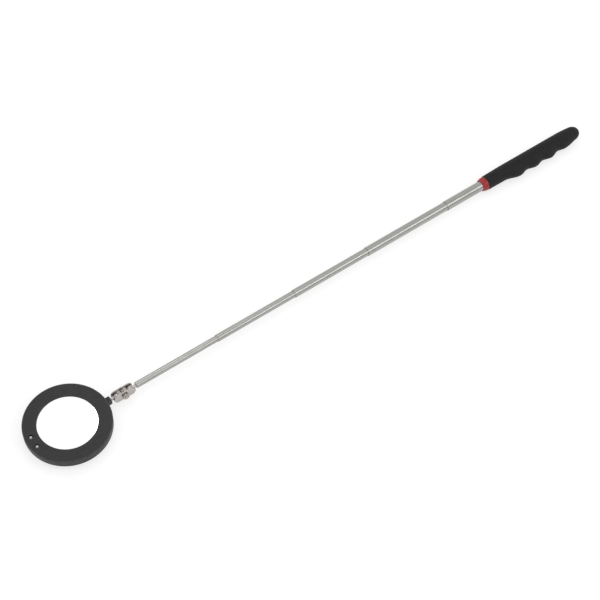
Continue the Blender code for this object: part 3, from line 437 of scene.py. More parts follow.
def geometry_tree(name: str, inputs: Mapping[str, str]) -> tuple[bpy.types.NodeTree, bpy.types.Node]:
    """Starts a Geometry Nodes tree.

    Args:
        name: The tree's name.
        inputs: The kind of socket of each named input.

    Returns:
        The tree and its input node.
    """
    tree = bpy.data.node_groups.new(name, "GeometryNodeTree")
    for label, kind in inputs.items():
        tree.interface.new_socket(label, in_out="INPUT", socket_type=f"NodeSocket{kind}")
    tree.interface.new_socket("Geometry", in_out="OUTPUT", socket_type="NodeSocketGeometry")
    return tree, add_node(tree, "NodeGroupInput")


def end_tree(tree: bpy.types.NodeTree, shape: bpy.types.NodeSocket, finish: bpy.types.NodeSocket) -> None:
    """Realizes the instances of a tree's shape, gives it its material and puts it out."""
    real = add_node(tree, "GeometryNodeRealizeInstances", {"Geometry": shape})
    dressed = add_node(
        tree, "GeometryNodeSetMaterial", {"Geometry": real.outputs[0], "Material": finish}
    )
    add_node(tree, "NodeGroupOutput", {0: dressed.outputs[0]})


def circle_tree() -> bpy.types.NodeTree:
    """A tree that puts copies of a piece on a circle, each turned on its own axis by chance."""
    tree, given = geometry_tree(
        "copies_on_a_circle",
        {
            "Piece": "Object",
            "Count": "Int",
            "Radius": "Float",
            "First Angle": "Float",
            "Largest Turn": "Float",
            "Seed": "Int",
            "Finish": "Material",
        },
    )
    take = given.outputs
    circle = add_node(
        tree, "GeometryNodeMeshCircle", {"Vertices": take["Count"], "Radius": take["Radius"]}
    )
    first = add_node(tree, "ShaderNodeCombineXYZ", {"Z": take["First Angle"]})
    placed = add_node(
        tree, "GeometryNodeTransform", {"Geometry": circle.outputs[0], "Rotation": first.outputs[0]}
    )
    largest = add_node(tree, "ShaderNodeCombineXYZ", {"Z": take["Largest Turn"]})
    chance = add_node(
        tree,
        "FunctionNodeRandomValue",
        {0: (0.0, 0.0, 0.0), 1: largest.outputs[0], "Seed": take["Seed"]},
        data_type="FLOAT_VECTOR",
    )
    piece = add_node(tree, "GeometryNodeObjectInfo", {"Object": take["Piece"]})
    copies = add_node(
        tree,
        "GeometryNodeInstanceOnPoints",
        {
            "Points": placed.outputs[0],
            "Instance": piece.outputs["Geometry"],
            "Rotation": chance.outputs[0],
        },
    )
    end_tree(tree, copies.outputs[0], take["Finish"])
    return tree


def row_tree() -> bpy.types.NodeTree:
    """A tree that puts copies of a piece in a straight row."""
    tree, given = geometry_tree(
        "copies_in_a_row",
        {"Piece": "Object", "Count": "Int", "First": "Vector", "Step": "Vector", "Finish": "Material"},
    )
    take = given.outputs
    line = add_node(
        tree,
        "GeometryNodeMeshLine",
        {"Count": take["Count"], "Start Location": take["First"], "Offset": take["Step"]},
    )
    piece = add_node(tree, "GeometryNodeObjectInfo", {"Object": take["Piece"]})
    copies = add_node(
        tree,
        "GeometryNodeInstanceOnPoints",
        {"Points": line.outputs[0], "Instance": piece.outputs["Geometry"]},
    )
    end_tree(tree, copies.outputs[0], take["Finish"])
    return tree


def section_tree() -> bpy.types.NodeTree:
    """A tree that draws one telescopic section: a thin tube whose front end is rolled in.

    Its profile is an outline of six points, which is rounded and swept round a circle. The tube
    starts at the origin and runs along +X.
    """
    tree, given = geometry_tree(
        "telescopic_section",
        {
            "Outer Radius": "Float",
            "Wall": "Float",
            "Length": "Float",
            "Lip Radius": "Float",
            "Lip Length": "Float",
            "Edge Radius": "Float",
            "Sides": "Int",
            "Finish": "Material",
        },
    )
    take = given.outputs

    def reckon(operation: str, first: Any, second: Any) -> bpy.types.NodeSocket:
        """One sum on two sockets or numbers."""
        return add_node(tree, "ShaderNodeMath", {0: first, 1: second}, operation=operation).outputs[0]

    inner = reckon("SUBTRACT", take["Outer Radius"], take["Wall"])
    roll = reckon("SUBTRACT", inner, take["Lip Radius"])
    lip_end = reckon("ADD", take["Lip Length"], roll)
    path_radius = take["Outer Radius"]
    corners = (
        (take["Outer Radius"], take["Length"]),
        (take["Outer Radius"], 0.0),
        (take["Lip Radius"], 0.0),
        (take["Lip Radius"], take["Lip Length"]),
        (inner, lip_end),
        (inner, take["Length"]),
    )
    choose = tree.nodes.new("GeometryNodeIndexSwitch")
    choose.data_type = "VECTOR"
    for index, (radius, along) in enumerate(corners):
        if index > 1:
            choose.index_switch_items.new()
        outwards = reckon("SUBTRACT", radius, path_radius)
        point = add_node(tree, "ShaderNodeCombineXYZ", {"X": outwards, "Y": reckon("MULTIPLY", along, -1.0)})
        tree.links.new(point.outputs[0], choose.inputs[index + 1])
    counter = add_node(tree, "GeometryNodeInputIndex")
    tree.links.new(counter.outputs[0], choose.inputs[0])
    points = add_node(tree, "GeometryNodeMeshLine", {"Count": len(corners)})
    string = add_node(tree, "GeometryNodeMeshToCurve", {0: points.outputs[0]})
    laid = add_node(
        tree, "GeometryNodeSetPosition", {"Geometry": string.outputs[0], "Position": choose.outputs[0]}
    )
    outline = add_node(
        tree, "GeometryNodeSetSplineCyclic", {"Geometry": laid.outputs[0], "Cyclic": True}
    )
    rounded = add_node(
        tree,
        "GeometryNodeFilletCurve",
        {"Curve": outline.outputs[0], "Count": 4, "Radius": take["Edge Radius"], "Limit Radius": True},
        mode="POLY",
    )
    path = add_node(
        tree,
        "GeometryNodeCurvePrimitiveCircle",
        {"Resolution": take["Sides"], "Radius": path_radius},
    )
    swept = add_node(
        tree,
        "GeometryNodeCurveToMesh",
        {"Curve": path.outputs[0], "Profile Curve": rounded.outputs[0]},
    )
    along_arm = add_node(
        tree,
        "GeometryNodeTransform",
        {"Geometry": swept.outputs[0], "Rotation": (0.0, math.radians(90), 0.0)},
    )
    end_tree(tree, along_arm.outputs[0], take["Finish"])
    return tree


def grown(name: str, tree: bpy.types.NodeTree, values: Mapping[str, Any]) -> bpy.types.Object:
    """Runs a Geometry Nodes tree and keeps what it makes as a plain mesh.

    Args:
        name: The new object's name.
        tree: The tree to run.
        values: What each named input is set to.

    Returns:
        The new object, without its modifier. A piece that was copied is used up.
    """
    made = bpy.data.objects.new(name, bpy.data.meshes.new(name))
    bpy.context.scene.collection.objects.link(made)
    modifier = made.modifiers.new(tree.name, "NODES")
    modifier.node_group = tree
    for socket in tree.interface.items_tree:
        if socket.in_out == "INPUT" and socket.name in values:
            modifier[socket.identifier] = values[socket.name]
    apply_modifiers(made)
    if "Piece" in values:
        bpy.data.objects.remove(values["Piece"])
    return made


# ------------------------------------------------------------------ finishes


def linear(code: str) -> tuple[float, float, float, float]:
    """Turns an sRGB hex colour into linear red, green, blue and alpha."""
    shares = [int(code[i : i + 2], 16) / 255 for i in (1, 3, 5)]
    bent = [s / 12.92 if s <= 0.04045 else ((s + 0.055) / 1.055) ** 2.4 for s in shares]
    return (bent[0], bent[1], bent[2], 1.0)


def per_metre(size: float) -> float:
    """The scale of a texture whose features are this big, in metres."""
    return 1.0 / size


@dataclass(frozen=True)
class Finish:
    """A material: its base values, and a method that adds the marks of how it was made."""

    name: str
    colour: str
    roughness: float
    metallic: float = 0.0
    ior: float = 1.5
    coat: float = 0.0

    def build(self) -> bpy.types.Material:
        """Makes the material with its base values and its surface detail."""
        made = bpy.data.materials.new(self.name)
        made.use_nodes = True
        shader = made.node_tree.nodes["Principled BSDF"]
        shader.inputs["Base Color"].default_value = linear(self.colour)
        shader.inputs["Roughness"].default_value = self.roughness
        shader.inputs["Metallic"].default_value = self.metallic
        shader.inputs["Coat Weight"].default_value = self.coat
        if self.metallic == 0.0:
            shader.inputs["IOR"].default_value = self.ior
        self.detail(made.node_tree, shader)
        return made

    def detail(self, tree: bpy.types.NodeTree, shader: bpy.types.Node) -> None:
        """Adds the surface detail. The plain finish has none."""

    def noise(self, tree: bpy.types.NodeTree, size: float, stretch: float = 1.0) -> bpy.types.NodeSocket:
        """Noise on the piece's own coordinates.

        Args:
            tree: The material's tree.
            size: How big its features are, in metres.
            stretch: How many times longer they are along the arm.

        Returns:
            The noise, around a half.
        """
        place = add_node(tree, "ShaderNodeTexCoord").outputs["Object"]
        drawn = add_node(tree, "ShaderNodeMapping", {"Vector": place, "Scale": (1 / stretch, 1, 1)})
        texture = add_node(
            tree,
            "ShaderNodeTexNoise",
            {"Vector": drawn.outputs[0], "Scale": per_metre(size), "Detail": 3.0},
        )
        return texture.outputs["Fac"]

    def spread(
        self, tree: bpy.types.NodeTree, value: bpy.types.NodeSocket, low: float, high: float
    ) -> bpy.types.NodeSocket:
        """Spreads the middle of a noise over a range from low to high."""
        inputs = {"Value": value, 1: 0.3, 2: 0.7, 3: low, 4: high}
        return add_node(tree, "ShaderNodeMapRange", inputs).outputs[0]

    def blend(
        self, tree: bpy.types.NodeTree, share: bpy.types.NodeSocket, first: Any, second: str
    ) -> bpy.types.NodeSocket:
        """Mixes a colour or a colour socket with a second colour, by a share."""
        start = linear(first) if isinstance(first, str) else first
        inputs = {"Factor": share, 6: start, 7: linear(second)}
        return add_node(tree, "ShaderNodeMix", inputs, data_type="RGBA").outputs[2]

    def bump(self, tree: bpy.types.NodeTree, shader: bpy.types.Node, height: Any, depth: float) -> None:
        """Adds a bump of this depth to the shader."""
        bump = add_node(tree, "ShaderNodeBump", {"Height": height, "Distance": depth})
        tree.links.new(bump.outputs[0], shader.inputs["Normal"])


@dataclass(frozen=True)
class Moulded(Finish):
    """Moulded plastic or rubber: a fine grain, faint cloudiness, and edges that handling rubs."""

    rubbed: str = "#5A5A5A"
    grain: float = 0.5 * MM
    grain_depth: float = 0.012 * MM
    cloud: float = 9.0 * MM
    cloudy: str = "#444444"
    dust: float = 0.0
    speck: float = 1.6 * MM

    def detail(self, tree: bpy.types.NodeTree, shader: bpy.types.Node) -> None:
        """Adds clouds of colour, rubbed edges, specks of dust and the mould's grain."""
        cloud = self.noise(tree, self.cloud)
        colour = self.blend(tree, self.spread(tree, cloud, 0.0, 1.0), self.colour, self.cloudy)
        if self.dust > 0.0:
            specks = {"Value": self.noise(tree, self.speck), 1: 0.62, 2: 0.72, 4: self.dust}
            speck = add_node(tree, "ShaderNodeMapRange", specks)
            colour = self.blend(tree, speck.outputs[0], colour, self.rubbed)
        edge = add_node(tree, "ShaderNodeAttribute", attribute_name="edge").outputs["Fac"]
        worn = add_node(
            tree, "ShaderNodeMath", {0: edge, 1: self.spread(tree, self.noise(tree, 4 * MM), 0.1, 0.7)},
            operation="MULTIPLY",
        ).outputs[0]
        colour = self.blend(tree, worn, colour, self.rubbed)
        tree.links.new(colour, shader.inputs["Base Color"])
        matt = self.spread(tree, self.noise(tree, 3 * MM), self.roughness - 0.05, self.roughness + 0.06)
        shine = add_node(tree, "ShaderNodeMath", {0: worn, 1: -0.12, 2: matt}, operation="MULTIPLY_ADD")
        tree.links.new(shine.outputs[0], shader.inputs["Roughness"])
        self.bump(tree, shader, self.noise(tree, self.grain), self.grain_depth)


@dataclass(frozen=True)
class Metal(Finish):
    """A metal surface: streaks or pores that vary its gloss, and a faint stain."""

    metallic: float = 1.0
    streak: float = 0.35 * MM
    streak_length: float = 1.0
    streak_depth: float = 0.002 * MM
    stain: str = "#A8A6A2"
    stain_size: float = 7.0 * MM
    stain_share: float = 0.4

    def detail(self, tree: bpy.types.NodeTree, shader: bpy.types.Node) -> None:
        """Adds the stain, the streaks in the gloss and their relief."""
        streak = self.noise(tree, self.streak, self.streak_length)
        cloud = self.spread(tree, self.noise(tree, self.stain_size, 3.0), 0.0, self.stain_share)
        tree.links.new(self.blend(tree, cloud, self.colour, self.stain), shader.inputs["Base Color"])
        gloss = self.spread(tree, streak, self.roughness * 0.8, self.roughness * 1.25)
        tree.links.new(gloss, shader.inputs["Roughness"])
        self.bump(tree, shader, streak, self.streak_depth)


@dataclass(frozen=True)
class BoardMask(Finish):
    """Solder mask over copper: the copper's edges show through as paler bands."""

    track: str = "#2F7A46"
    pitch: float = 1.6 * MM

    def detail(self, tree: bpy.types.NodeTree, shader: bpy.types.Node) -> None:
        """Adds the bands of copper under the mask."""
        place = add_node(tree, "ShaderNodeTexCoord").outputs["Object"]
        wave = add_node(
            tree,
            "ShaderNodeTexWave",
            {"Vector": place, "Scale": per_metre(self.pitch) / 20, "Distortion": 1.5},
            bands_direction="Y",
        )
        band = add_node(tree, "ShaderNodeMapRange", {"Value": wave.outputs["Fac"], 1: 0.45, 2: 0.55})
        colour = self.blend(tree, band.outputs[0], self.colour, self.track)
        tree.links.new(colour, shader.inputs["Base Color"])
        self.bump(tree, shader, band.outputs[0], 0.035 * MM)


# ABS, injection moulded in a spark-eroded mould: a satin black that dust shows on.
HEAD_ABS = Moulded("moulded_abs", "#191919", 0.5, ior=1.45, rubbed="#454543", cloudy="#1E1E1E", dust=0.35)
# Thermoplastic rubber, overmoulded: nearly black and matt, with a soft sheen and no highlights.
GRIP_RUBBER = Moulded(
    "moulded_thermoplastic_rubber", "#0F0F0F", 0.66, ior=1.35, rubbed="#212121", grain=0.7 * MM,
    grain_depth=0.03 * MM, cloudy="#131313", dust=0.25,
)
# Acetal, moulded in a deep red: slightly waxy, with paler rubbed edges.
RED_ACETAL = Moulded(
    "moulded_red_acetal", "#8C1618", 0.34, ior=1.42, rubbed="#A84A4C", cloudy="#941C1E"
)
# Stainless steel tube, drawn and polished lengthwise: its fine lines are drawn coarser than they
# are, because real ones, a few hundredths of a millimetre apart, would not show.
TUBE_STEEL = Metal(
    "drawn_stainless_steel", "#A8A8A5", 0.3, streak=0.3 * MM, streak_length=60.0, stain="#9F9D98"
)
# Mild steel, bright nickel plated: smooth with a slightly warm tint.
NICKEL = Metal("nickel_plated_steel", "#B8B2B0", 0.24, streak=0.8 * MM, stain="#A69F9B")
# Steel screws and nut, zinc plated and clear passivated: a duller, faintly yellow grey.
ZINC = Metal("zinc_plated_steel", "#B4B1A8", 0.34, streak=0.4 * MM, stain="#A09C8E", streak_depth=0.004 * MM)
# Phosphor bronze strip, rolled: yellow, with lines along its length.
BRONZE = Metal(
    "rolled_phosphor_bronze", "#D9B26A", 0.32, streak=0.25 * MM, streak_length=20.0, stain="#B98D4C"
)
# Stainless can of a coin cell, pressed and tumbled: bright, with small scratches.
CELL_CAN = Metal(
    "pressed_stainless_can", "#D5D5D6", 0.22, streak=0.5 * MM, streak_length=8.0, stain="#BFC0C2"
)
# Float glass with silver behind it: the clear glass makes a second, faint reflection.
SILVERED_GLASS = Finish("silvered_float_glass", "#F0F2F1", 0.02, metallic=1.0, coat=1.0)
# The ground edge of the glass: the green that iron gives it, made matt by grinding.
GROUND_EDGE = Metal(
    "ground_glass_edge", "#7FA394", 0.5, metallic=0.0, ior=1.52, streak=0.2 * MM, stain="#9DBBAE"
)
# Polyethylene foam, die cut from sheet: pale grey and quite matt.
FOAM = Moulded(
    "cut_polyethylene_foam", "#CFCFC9", 0.9, grain=0.6 * MM, grain_depth=0.15 * MM, cloudy="#BEBEB8"
)
# Glass-epoxy board, coated with green solder mask.
MASK = BoardMask("green_solder_mask", "#1B5B31", 0.35, ior=1.55)
# Clear epoxy, cast round the chip of a lamp: reads milky from the pale cup inside it.
LAMP_EPOXY = Finish("cast_clear_epoxy", "#BFC0BB", 0.12, ior=1.56, coat=0.6)
# Soft PVC, extruded over stranded wire.
RED_PVC = Moulded("extruded_red_pvc", "#A3161A", 0.45, rubbed="#C04A4A", cloudy="#9A1216")
BLACK_PVC = Moulded("extruded_black_pvc", "#1B1B1B", 0.45, rubbed="#3C3C3C", cloudy="#222222")


@dataclass(frozen=True)
class Palette:
    """The material of each of the record's slots, by the slot's name."""

    materials: Mapping[str, bpy.types.Material]

    @classmethod
    def mixed(cls) -> "Palette":
        """Builds every finish once."""
        finishes = {
            "head_plastic": HEAD_ABS,
            "grip_rubber": GRIP_RUBBER,
            "red_plastic": RED_ACETAL,
            "tube_steel": TUBE_STEEL,
            "plated_steel": NICKEL,
            "zinc_steel": ZINC,
            "brass": BRONZE,
            "mirror_glass": SILVERED_GLASS,
            "glass_edge": GROUND_EDGE,
            "foam": FOAM,
            "cell_steel": CELL_CAN,
            "board_laminate": MASK,
            "led_resin": LAMP_EPOXY,
            "red_insulation": RED_PVC,
            "black_insulation": BLACK_PVC,
        }
        return cls({slot: finish.build() for slot, finish in finishes.items()})

    def __getitem__(self, slot: str) -> bpy.types.Material:
        """The material of a slot."""
        return self.materials[slot]


# ------------------------------------------------------------------ sub-assemblies


@dataclass
class SubAssembly:
    """What every sub-assembly does with its pieces: dress them and hang them on their bodies."""

    palette: Palette

    def settle(self, piece: bpy.types.Object, body: str, slot: str, *nodes: str) -> bpy.types.Object:
        """Finishes a piece and puts it in place of its CAD nodes.

        Args:
            piece: The piece, in its place.
            body: The body that it rides on.
            slot: The record's material slot that it is made of.
            *nodes: The CAD nodes that it stands for.

        Returns:
            The piece.
        """
        smoothed(piece)
        if not piece.data.materials:
            piece.data.materials.append(self.palette[slot])
        mark_edges(piece)
        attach(piece, body)
        if nodes:
            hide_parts(*nodes)
        triangles = sum(len(face.vertices) - 2 for face in piece.data.polygons)
        LOG.info("%s rides on %s, %d triangles, in %s", piece.name, body, triangles, slot)
        return piece

    def carry_over(self, slots: Mapping[str, Iterable[str]]) -> None:
        """Gives CAD nodes that keep their shape the material of their slot.

        Args:
            slots: The nodes that each slot's material goes on.
        """
        for slot, nodes in slots.items():
            for node in nodes:
                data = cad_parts[node].data
                data.materials.clear()
                data.materials.append(self.palette[slot])
                LOG.info("%s keeps its shape, in %s", node, slot)


@dataclass
class HeadShell(SubAssembly):
    """The front moulding: its face, rim, mirror seat, posts and the boss for the stud."""

    lip: float = 1.0 * MM
    lip_overlap: float = 1.4 * MM
    face_wall: float = 1.2 * MM
    rim_wall: float = 1.2 * MM
    seat_gap: float = 0.3 * MM
    seat_wall: float = 1.3 * MM
    seat_depth: float = 3.6 * MM
    front_fillet: float = 1.0 * MM
    back_fillet: float = 0.9 * MM
    lamp_hole: float = 2.2 * MM
    lamp_chamfer: float = 0.25 * MM
    cover_post: float = 2.25 * MM
    board_post: float = 1.6 * MM
    boss_width: float = 6.4 * MM
    boss_height: float = 6.0 * MM
    boss_inside: float = 2.8 * MM
    boss_fillet: float = 1.0 * MM
    bore: float = 1.6 * MM
    gap: float = 0.2 * MM
    sides: int = 192
    post_sides: int = 32

    def build(self) -> bpy.types.Object:
        """Turns the moulding, adds its posts and boss, and cuts its holes."""
        whole = Extent.of("front_housing")
        mirror = Extent.of("mirror_glass")
        cover = Extent.of("back_cover")
        board = Extent.of("circuit_board")
        rim = whole.size.y / 2
        front, back = whole.high.z, whole.low.z
        under = front - self.face_wall
        opening = mirror.size.x / 2 - self.lip_overlap
        seat = mirror.size.x / 2 + self.seat_gap
        at = over(cover.middle)
        shell = turned(
            "head_front_shell",
            filleted(
                (
                    (opening, front, 0.45 * MM),
                    (rim, front, self.front_fillet),
                    (rim, back, self.back_fillet),
                    (rim - self.rim_wall, back, 0.15 * MM),
                    (rim - self.rim_wall, under, 0.3 * MM),
                    (seat + self.seat_wall, under, 0.3 * MM),
                    (seat + self.seat_wall, front - self.seat_depth, 0.2 * MM),
                    (seat, front - self.seat_depth, 0.2 * MM),
                    (seat, front - self.lip, 0.1 * MM),
                    (opening, front - self.lip, 0.15 * MM),
                ),
                loop=True,
            ),
            at,
            self.sides,
        )
        boss_end = whole.high.x
        rim_end = cover.middle.x + rim
        arm = Extent.of("head_ball_stud").middle
        boss_length = boss_end - rim_end + self.boss_inside
        boss = block(
            "stud_boss",
            Vector((boss_length, self.boss_width, self.boss_height)),
            Vector((boss_end - boss_length / 2, arm.y, arm.z)),
            self.boss_fillet,
        )
        post_foot = back + self.face_wall + self.gap
        room_radius = rim - self.rim_wall - self.gap
        room = rod("room_for_the_cover", room_radius, back - THROUGH, post_foot, at, self.sides)
        combine(boss, Boolean.CUT, room)
        into_face = under + self.face_wall / 2
        posts = [boss]
        for index in range(1, 5):
            screw = Extent.of(f"cover_screw_{index}").middle
            name = f"cover_post_{index}"
            posts.append(rod(name, self.cover_post, post_foot, into_face, over(screw), self.post_sides))
        for index in (1, 2):
            screw = Extent.of(f"board_screw_{index}").middle
            name, foot = f"board_post_{index}", board.high.z + self.gap
            posts.append(rod(name, self.board_post, foot, into_face, over(screw), self.post_sides))
        combine(shell, Boolean.JOIN, *posts)
        bore_at = Facing.TO_GRIP.at(Vector((rim_end, arm.y, arm.z)))
        holes = [rod("stud_bore", self.bore, -boss_length, boss_length, bore_at, 48)]
        for index in (1, 2):
            lamp = Extent.of(f"led_{index}").middle
            rings = [
                (0.0, front + THROUGH),
                (self.lamp_hole + self.lamp_chamfer + THROUGH, front + THROUGH),
                (self.lamp_hole, front - self.lamp_chamfer),
                (self.lamp_hole, under - THROUGH),
                (0.0, under - THROUGH),
            ]
            holes.append(turned(f"lamp_hole_{index}", rings, over(lamp), 64))
        combine(shell, Boolean.CUT, *holes)
        return self.settle(shell, "head", "head_plastic", "front_housing")


@dataclass
class MirrorPlate(SubAssembly):
    """The round mirror: a disc of glass with a ground edge."""

    arris: float = 0.2 * MM
    sides: int = 192

    def build(self) -> bpy.types.Object:
        """Turns the disc, and dresses its faces and its edge."""
        glass = Extent.of("mirror_glass")
        radius = glass.size.x / 2
        plate = turned(
            "mirror_plate",
            filleted(
                (
                    (0.0, glass.high.z, 0.0),
                    (radius, glass.high.z, self.arris),
                    (radius, glass.low.z, self.arris),
                    (0.0, glass.low.z, 0.0),
                ),
                loop=False,
            ),
            over(glass.middle),
            self.sides,
        )
        for slot in ("mirror_glass", "glass_edge"):
            plate.data.materials.append(self.palette[slot])
        for face in plate.data.polygons:
            face.material_index = 0 if abs(face.normal.z) > 0.99 else 1
        return self.settle(plate, "head", "mirror_glass", "mirror_glass")


@dataclass
class HeadBack(SubAssembly):
    """The back cover with its battery box, the battery lid and the screws that hold them."""

    row: bpy.types.NodeTree
    circle: bpy.types.NodeTree
    wall: float = 1.2 * MM
    edge: float = 0.25 * MM
    gap: float = 0.2 * MM
    box_wall: float = 1.0 * MM
    ledge: float = 1.4 * MM
    cell_gap: float = 0.3 * MM
    lid_post: float = 1.7 * MM
    dish_radius: float = 3.4 * MM
    dish_half: float = 3.1 * MM
    dish_depth: float = 0.5 * MM
    dish_slope: float = 0.7 * MM
    cover_screw_shank: float = 0.75 * MM
    lid_screw_shank: float = 0.55 * MM
    ceiling: float = 0.5 * MM
    knob_travel: float = 2.5 * MM
    slot_room: float = 0.6 * MM
    thread_pitch: float = 0.6 * MM
    sides: int = 160

    def build(self) -> None:
        """Makes the cover, the lid and their screws."""
        self.make_cover()
        self.make_lid()
        self.make_screws()

    def countersink(self, node: str, shank: float) -> bpy.types.Object:
        """The cutter for a countersunk screw that goes in from the back face.

        Args:
            node: The screw's CAD node, which gives its place and its head.
            shank: Radius of its shank.

        Returns:
            The cutter.
        """
        screw = Extent.of(node)
        face = Extent.of("front_housing").low.z
        head = screw.size.x / 2 + self.gap
        hole = shank + self.gap
        profile = [
            (0.0, screw.high.z),
            (hole, screw.high.z),
            (hole, face + head - hole),
            (head + THROUGH, face - THROUGH),
            (0.0, face - THROUGH),
        ]
        return turned(f"{node}_countersink", profile, over(screw.middle), 48)

    def make_cover(self) -> bpy.types.Object:
        """The back disc, its battery box, the lid's pocket, the thumb dish and the holes."""
        disc = Extent.of("back_cover")
        lid = Extent.of("battery_door")
        knob = Extent.of("switch_slider")
        cell = Extent.of("coin_cell_1")
        back = disc.low.z
        at = over(disc.middle)
        radius = disc.size.x / 2
        lid_radius = lid.size.x / 2
        half = lid.size.y / 2 - lid_radius
        cell_radius = cell.size.x / 2
        box_radius = lid_radius + self.gap + self.box_wall
        middle = back + self.wall / 2
        cover = turned(
            "head_back_cover",
            filleted(
                (
                    (0.0, back + self.wall, 0.0),
                    (radius, back + self.wall, self.edge),
                    (radius, back, self.edge),
                    (0.0, back, 0.0),
                ),
                loop=False,
            ),
            at,
            self.sides,
        )
        box = turned(
            "battery_box",
            filleted(
                (
                    (0.0, disc.high.z, 0.0),
                    (box_radius, disc.high.z, 0.4 * MM),
                    (box_radius, middle, 0.0),
                    (0.0, middle, 0.0),
                ),
                loop=False,
            ),
            at,
            half=half,
        )
        combine(cover, Boolean.JOIN, box)
        pocket_radius = lid_radius + self.gap
        pocket = turned(
            "lid_pocket",
            [
                (0.0, lid.high.z + self.gap),
                (pocket_radius, lid.high.z + self.gap),
                (pocket_radius, back + self.edge),
                (pocket_radius + self.edge + THROUGH, back - THROUGH),
                (0.0, back - THROUGH),
            ],
            at,
            half=half,
        )
        ceiling = disc.high.z - self.ceiling
        well_radius = cell_radius + self.cell_gap
        well = rod("cell_well", well_radius, back - THROUGH, ceiling, at, half=half)
        combine(cover, Boolean.CUT, pocket, well)
        screw = Extent.of("door_screw")
        post_place = over(screw.middle)
        post = rod(
            "lid_screw_post", self.lid_post, lid.high.z + self.gap, ceiling + self.gap, post_place, 32
        )
        combine(cover, Boolean.JOIN, post)
        strip = Extent.of("negative_contact")
        pilot_radius = self.lid_screw_shank + self.gap
        cutters = [
            rod("lid_screw_pilot", pilot_radius, back, screw.high.z + self.gap, post_place, 24),
            turned(
                "thumb_dish",
                filleted(
                    (
                        (0.0, back + self.dish_depth, 0.0),
                        (self.dish_radius - self.dish_slope, back + self.dish_depth, 0.4 * MM),
                        (self.dish_radius, back, 0.0),
                        (self.dish_radius, back - THROUGH, 0.0),
                        (0.0, back - THROUGH, 0.0),
                    ),
                    loop=False,
                ),
                Facing.UP.at(Vector((knob.middle.x, disc.middle.y, 0.0))),
                half=self.dish_half,
            ),
        ]
        slot_length = knob.size.y + self.knob_travel + self.slot_room
        slot_size = Vector((knob.size.x + self.slot_room, slot_length, 4 * self.wall))
        slot_middle = Vector((knob.middle.x, disc.middle.y, back))
        cutters.append(block("knob_slot", slot_size, slot_middle, 0.25 * MM))
        for index in range(1, 5):
            cutters.append(self.countersink(f"cover_screw_{index}", self.cover_screw_shank))
        notch_size = Vector((box_radius - well_radius + 6 * MM, strip.size.y + self.slot_room, 1.0 * MM))
        for side in ("negative_contact", "positive_contact"):
            contact = Extent.of(side)
            aside = (box_radius + well_radius) / 2
            notch = Vector((disc.middle.x - aside, contact.middle.y, contact.middle.z))
            cutters.append(block(f"{side}_notch", notch_size, notch))
        clip = Extent.of("stud_clip")
        relief = Vector((clip.size.x + 3.5 * MM, clip.size.y + 2 * MM, self.wall))
        relief_low = min(back + self.wall - 0.5 * MM, clip.low.z - self.gap)
        cutters.append(
            block("clip_relief", relief, Vector((clip.middle.x, clip.middle.y, relief_low + self.wall / 2)))
        )
        combine(cover, Boolean.CUT, *cutters)
        return self.settle(cover, "head", "head_plastic", "back_cover")

    def make_lid(self) -> bpy.types.Object:
        """The battery lid, with its countersunk hole and three grooves for a fingernail."""
        lid = Extent.of("battery_door")
        radius = lid.size.x / 2
        half = lid.size.y / 2 - radius
        plate = turned(
            "battery_lid",
            filleted(
                (
                    (0.0, lid.high.z, 0.0),
                    (radius, lid.high.z, 0.15 * MM),
                    (radius, lid.low.z, 0.3 * MM),
                    (0.0, lid.low.z, 0.0),
                ),
                loop=False,
            ),
            over(lid.middle),
            half=half,
        )
        groove = block("groove", Vector((0.8 * MM, 8.0 * MM, 0.6 * MM)), Vector(), 0.25 * MM)
        grooves = grown(
            "nail_grooves",
            self.row,
            {
                "Piece": groove,
                "Count": 3,
                "First": Vector((lid.middle.x - 3.0 * MM, lid.middle.y, lid.low.z)),
                "Step": Vector((-1.8 * MM, 0.0, 0.0)),
            },
        )
        combine(plate, Boolean.CUT, self.countersink("door_screw", self.lid_screw_shank), grooves)
        return self.settle(plate, "head", "head_plastic", "battery_door")

    def countersunk(self, name: str, node: str, shank: float) -> bpy.types.Object:
        """A countersunk screw about its own axis, its face at the origin and its point upwards.

        Args:
            name: The screw's name.
            node: Its CAD node, which gives its head and its length.
            shank: Radius of its shank.

        Returns:
            The screw.
        """
        box = Extent.of(node)
        head = box.size.x / 2
        length = box.size.z
        pitch = self.thread_pitch
        profile = [(0.0, length), (shank * 0.3, length)]
        neck = head - shank
        turns = int((length - neck - pitch) / pitch)
        for turn in range(turns, 0, -1):
            crest = neck + turn * pitch
            profile += [(shank * 0.72, crest + pitch / 2), (shank, crest)]
        profile += [(shank * 0.75, neck), (head, 0.1 * MM), (head - 0.08 * MM, 0.0), (0.0, 0.0)]
        screw = turned(name, profile, steps=40)
        recess = cross_cutter("recess", head * 0.32, head * 0.62, neck * 0.8, Facing.DOWN.at(Vector()))
        return combine(screw, Boolean.CUT, recess)

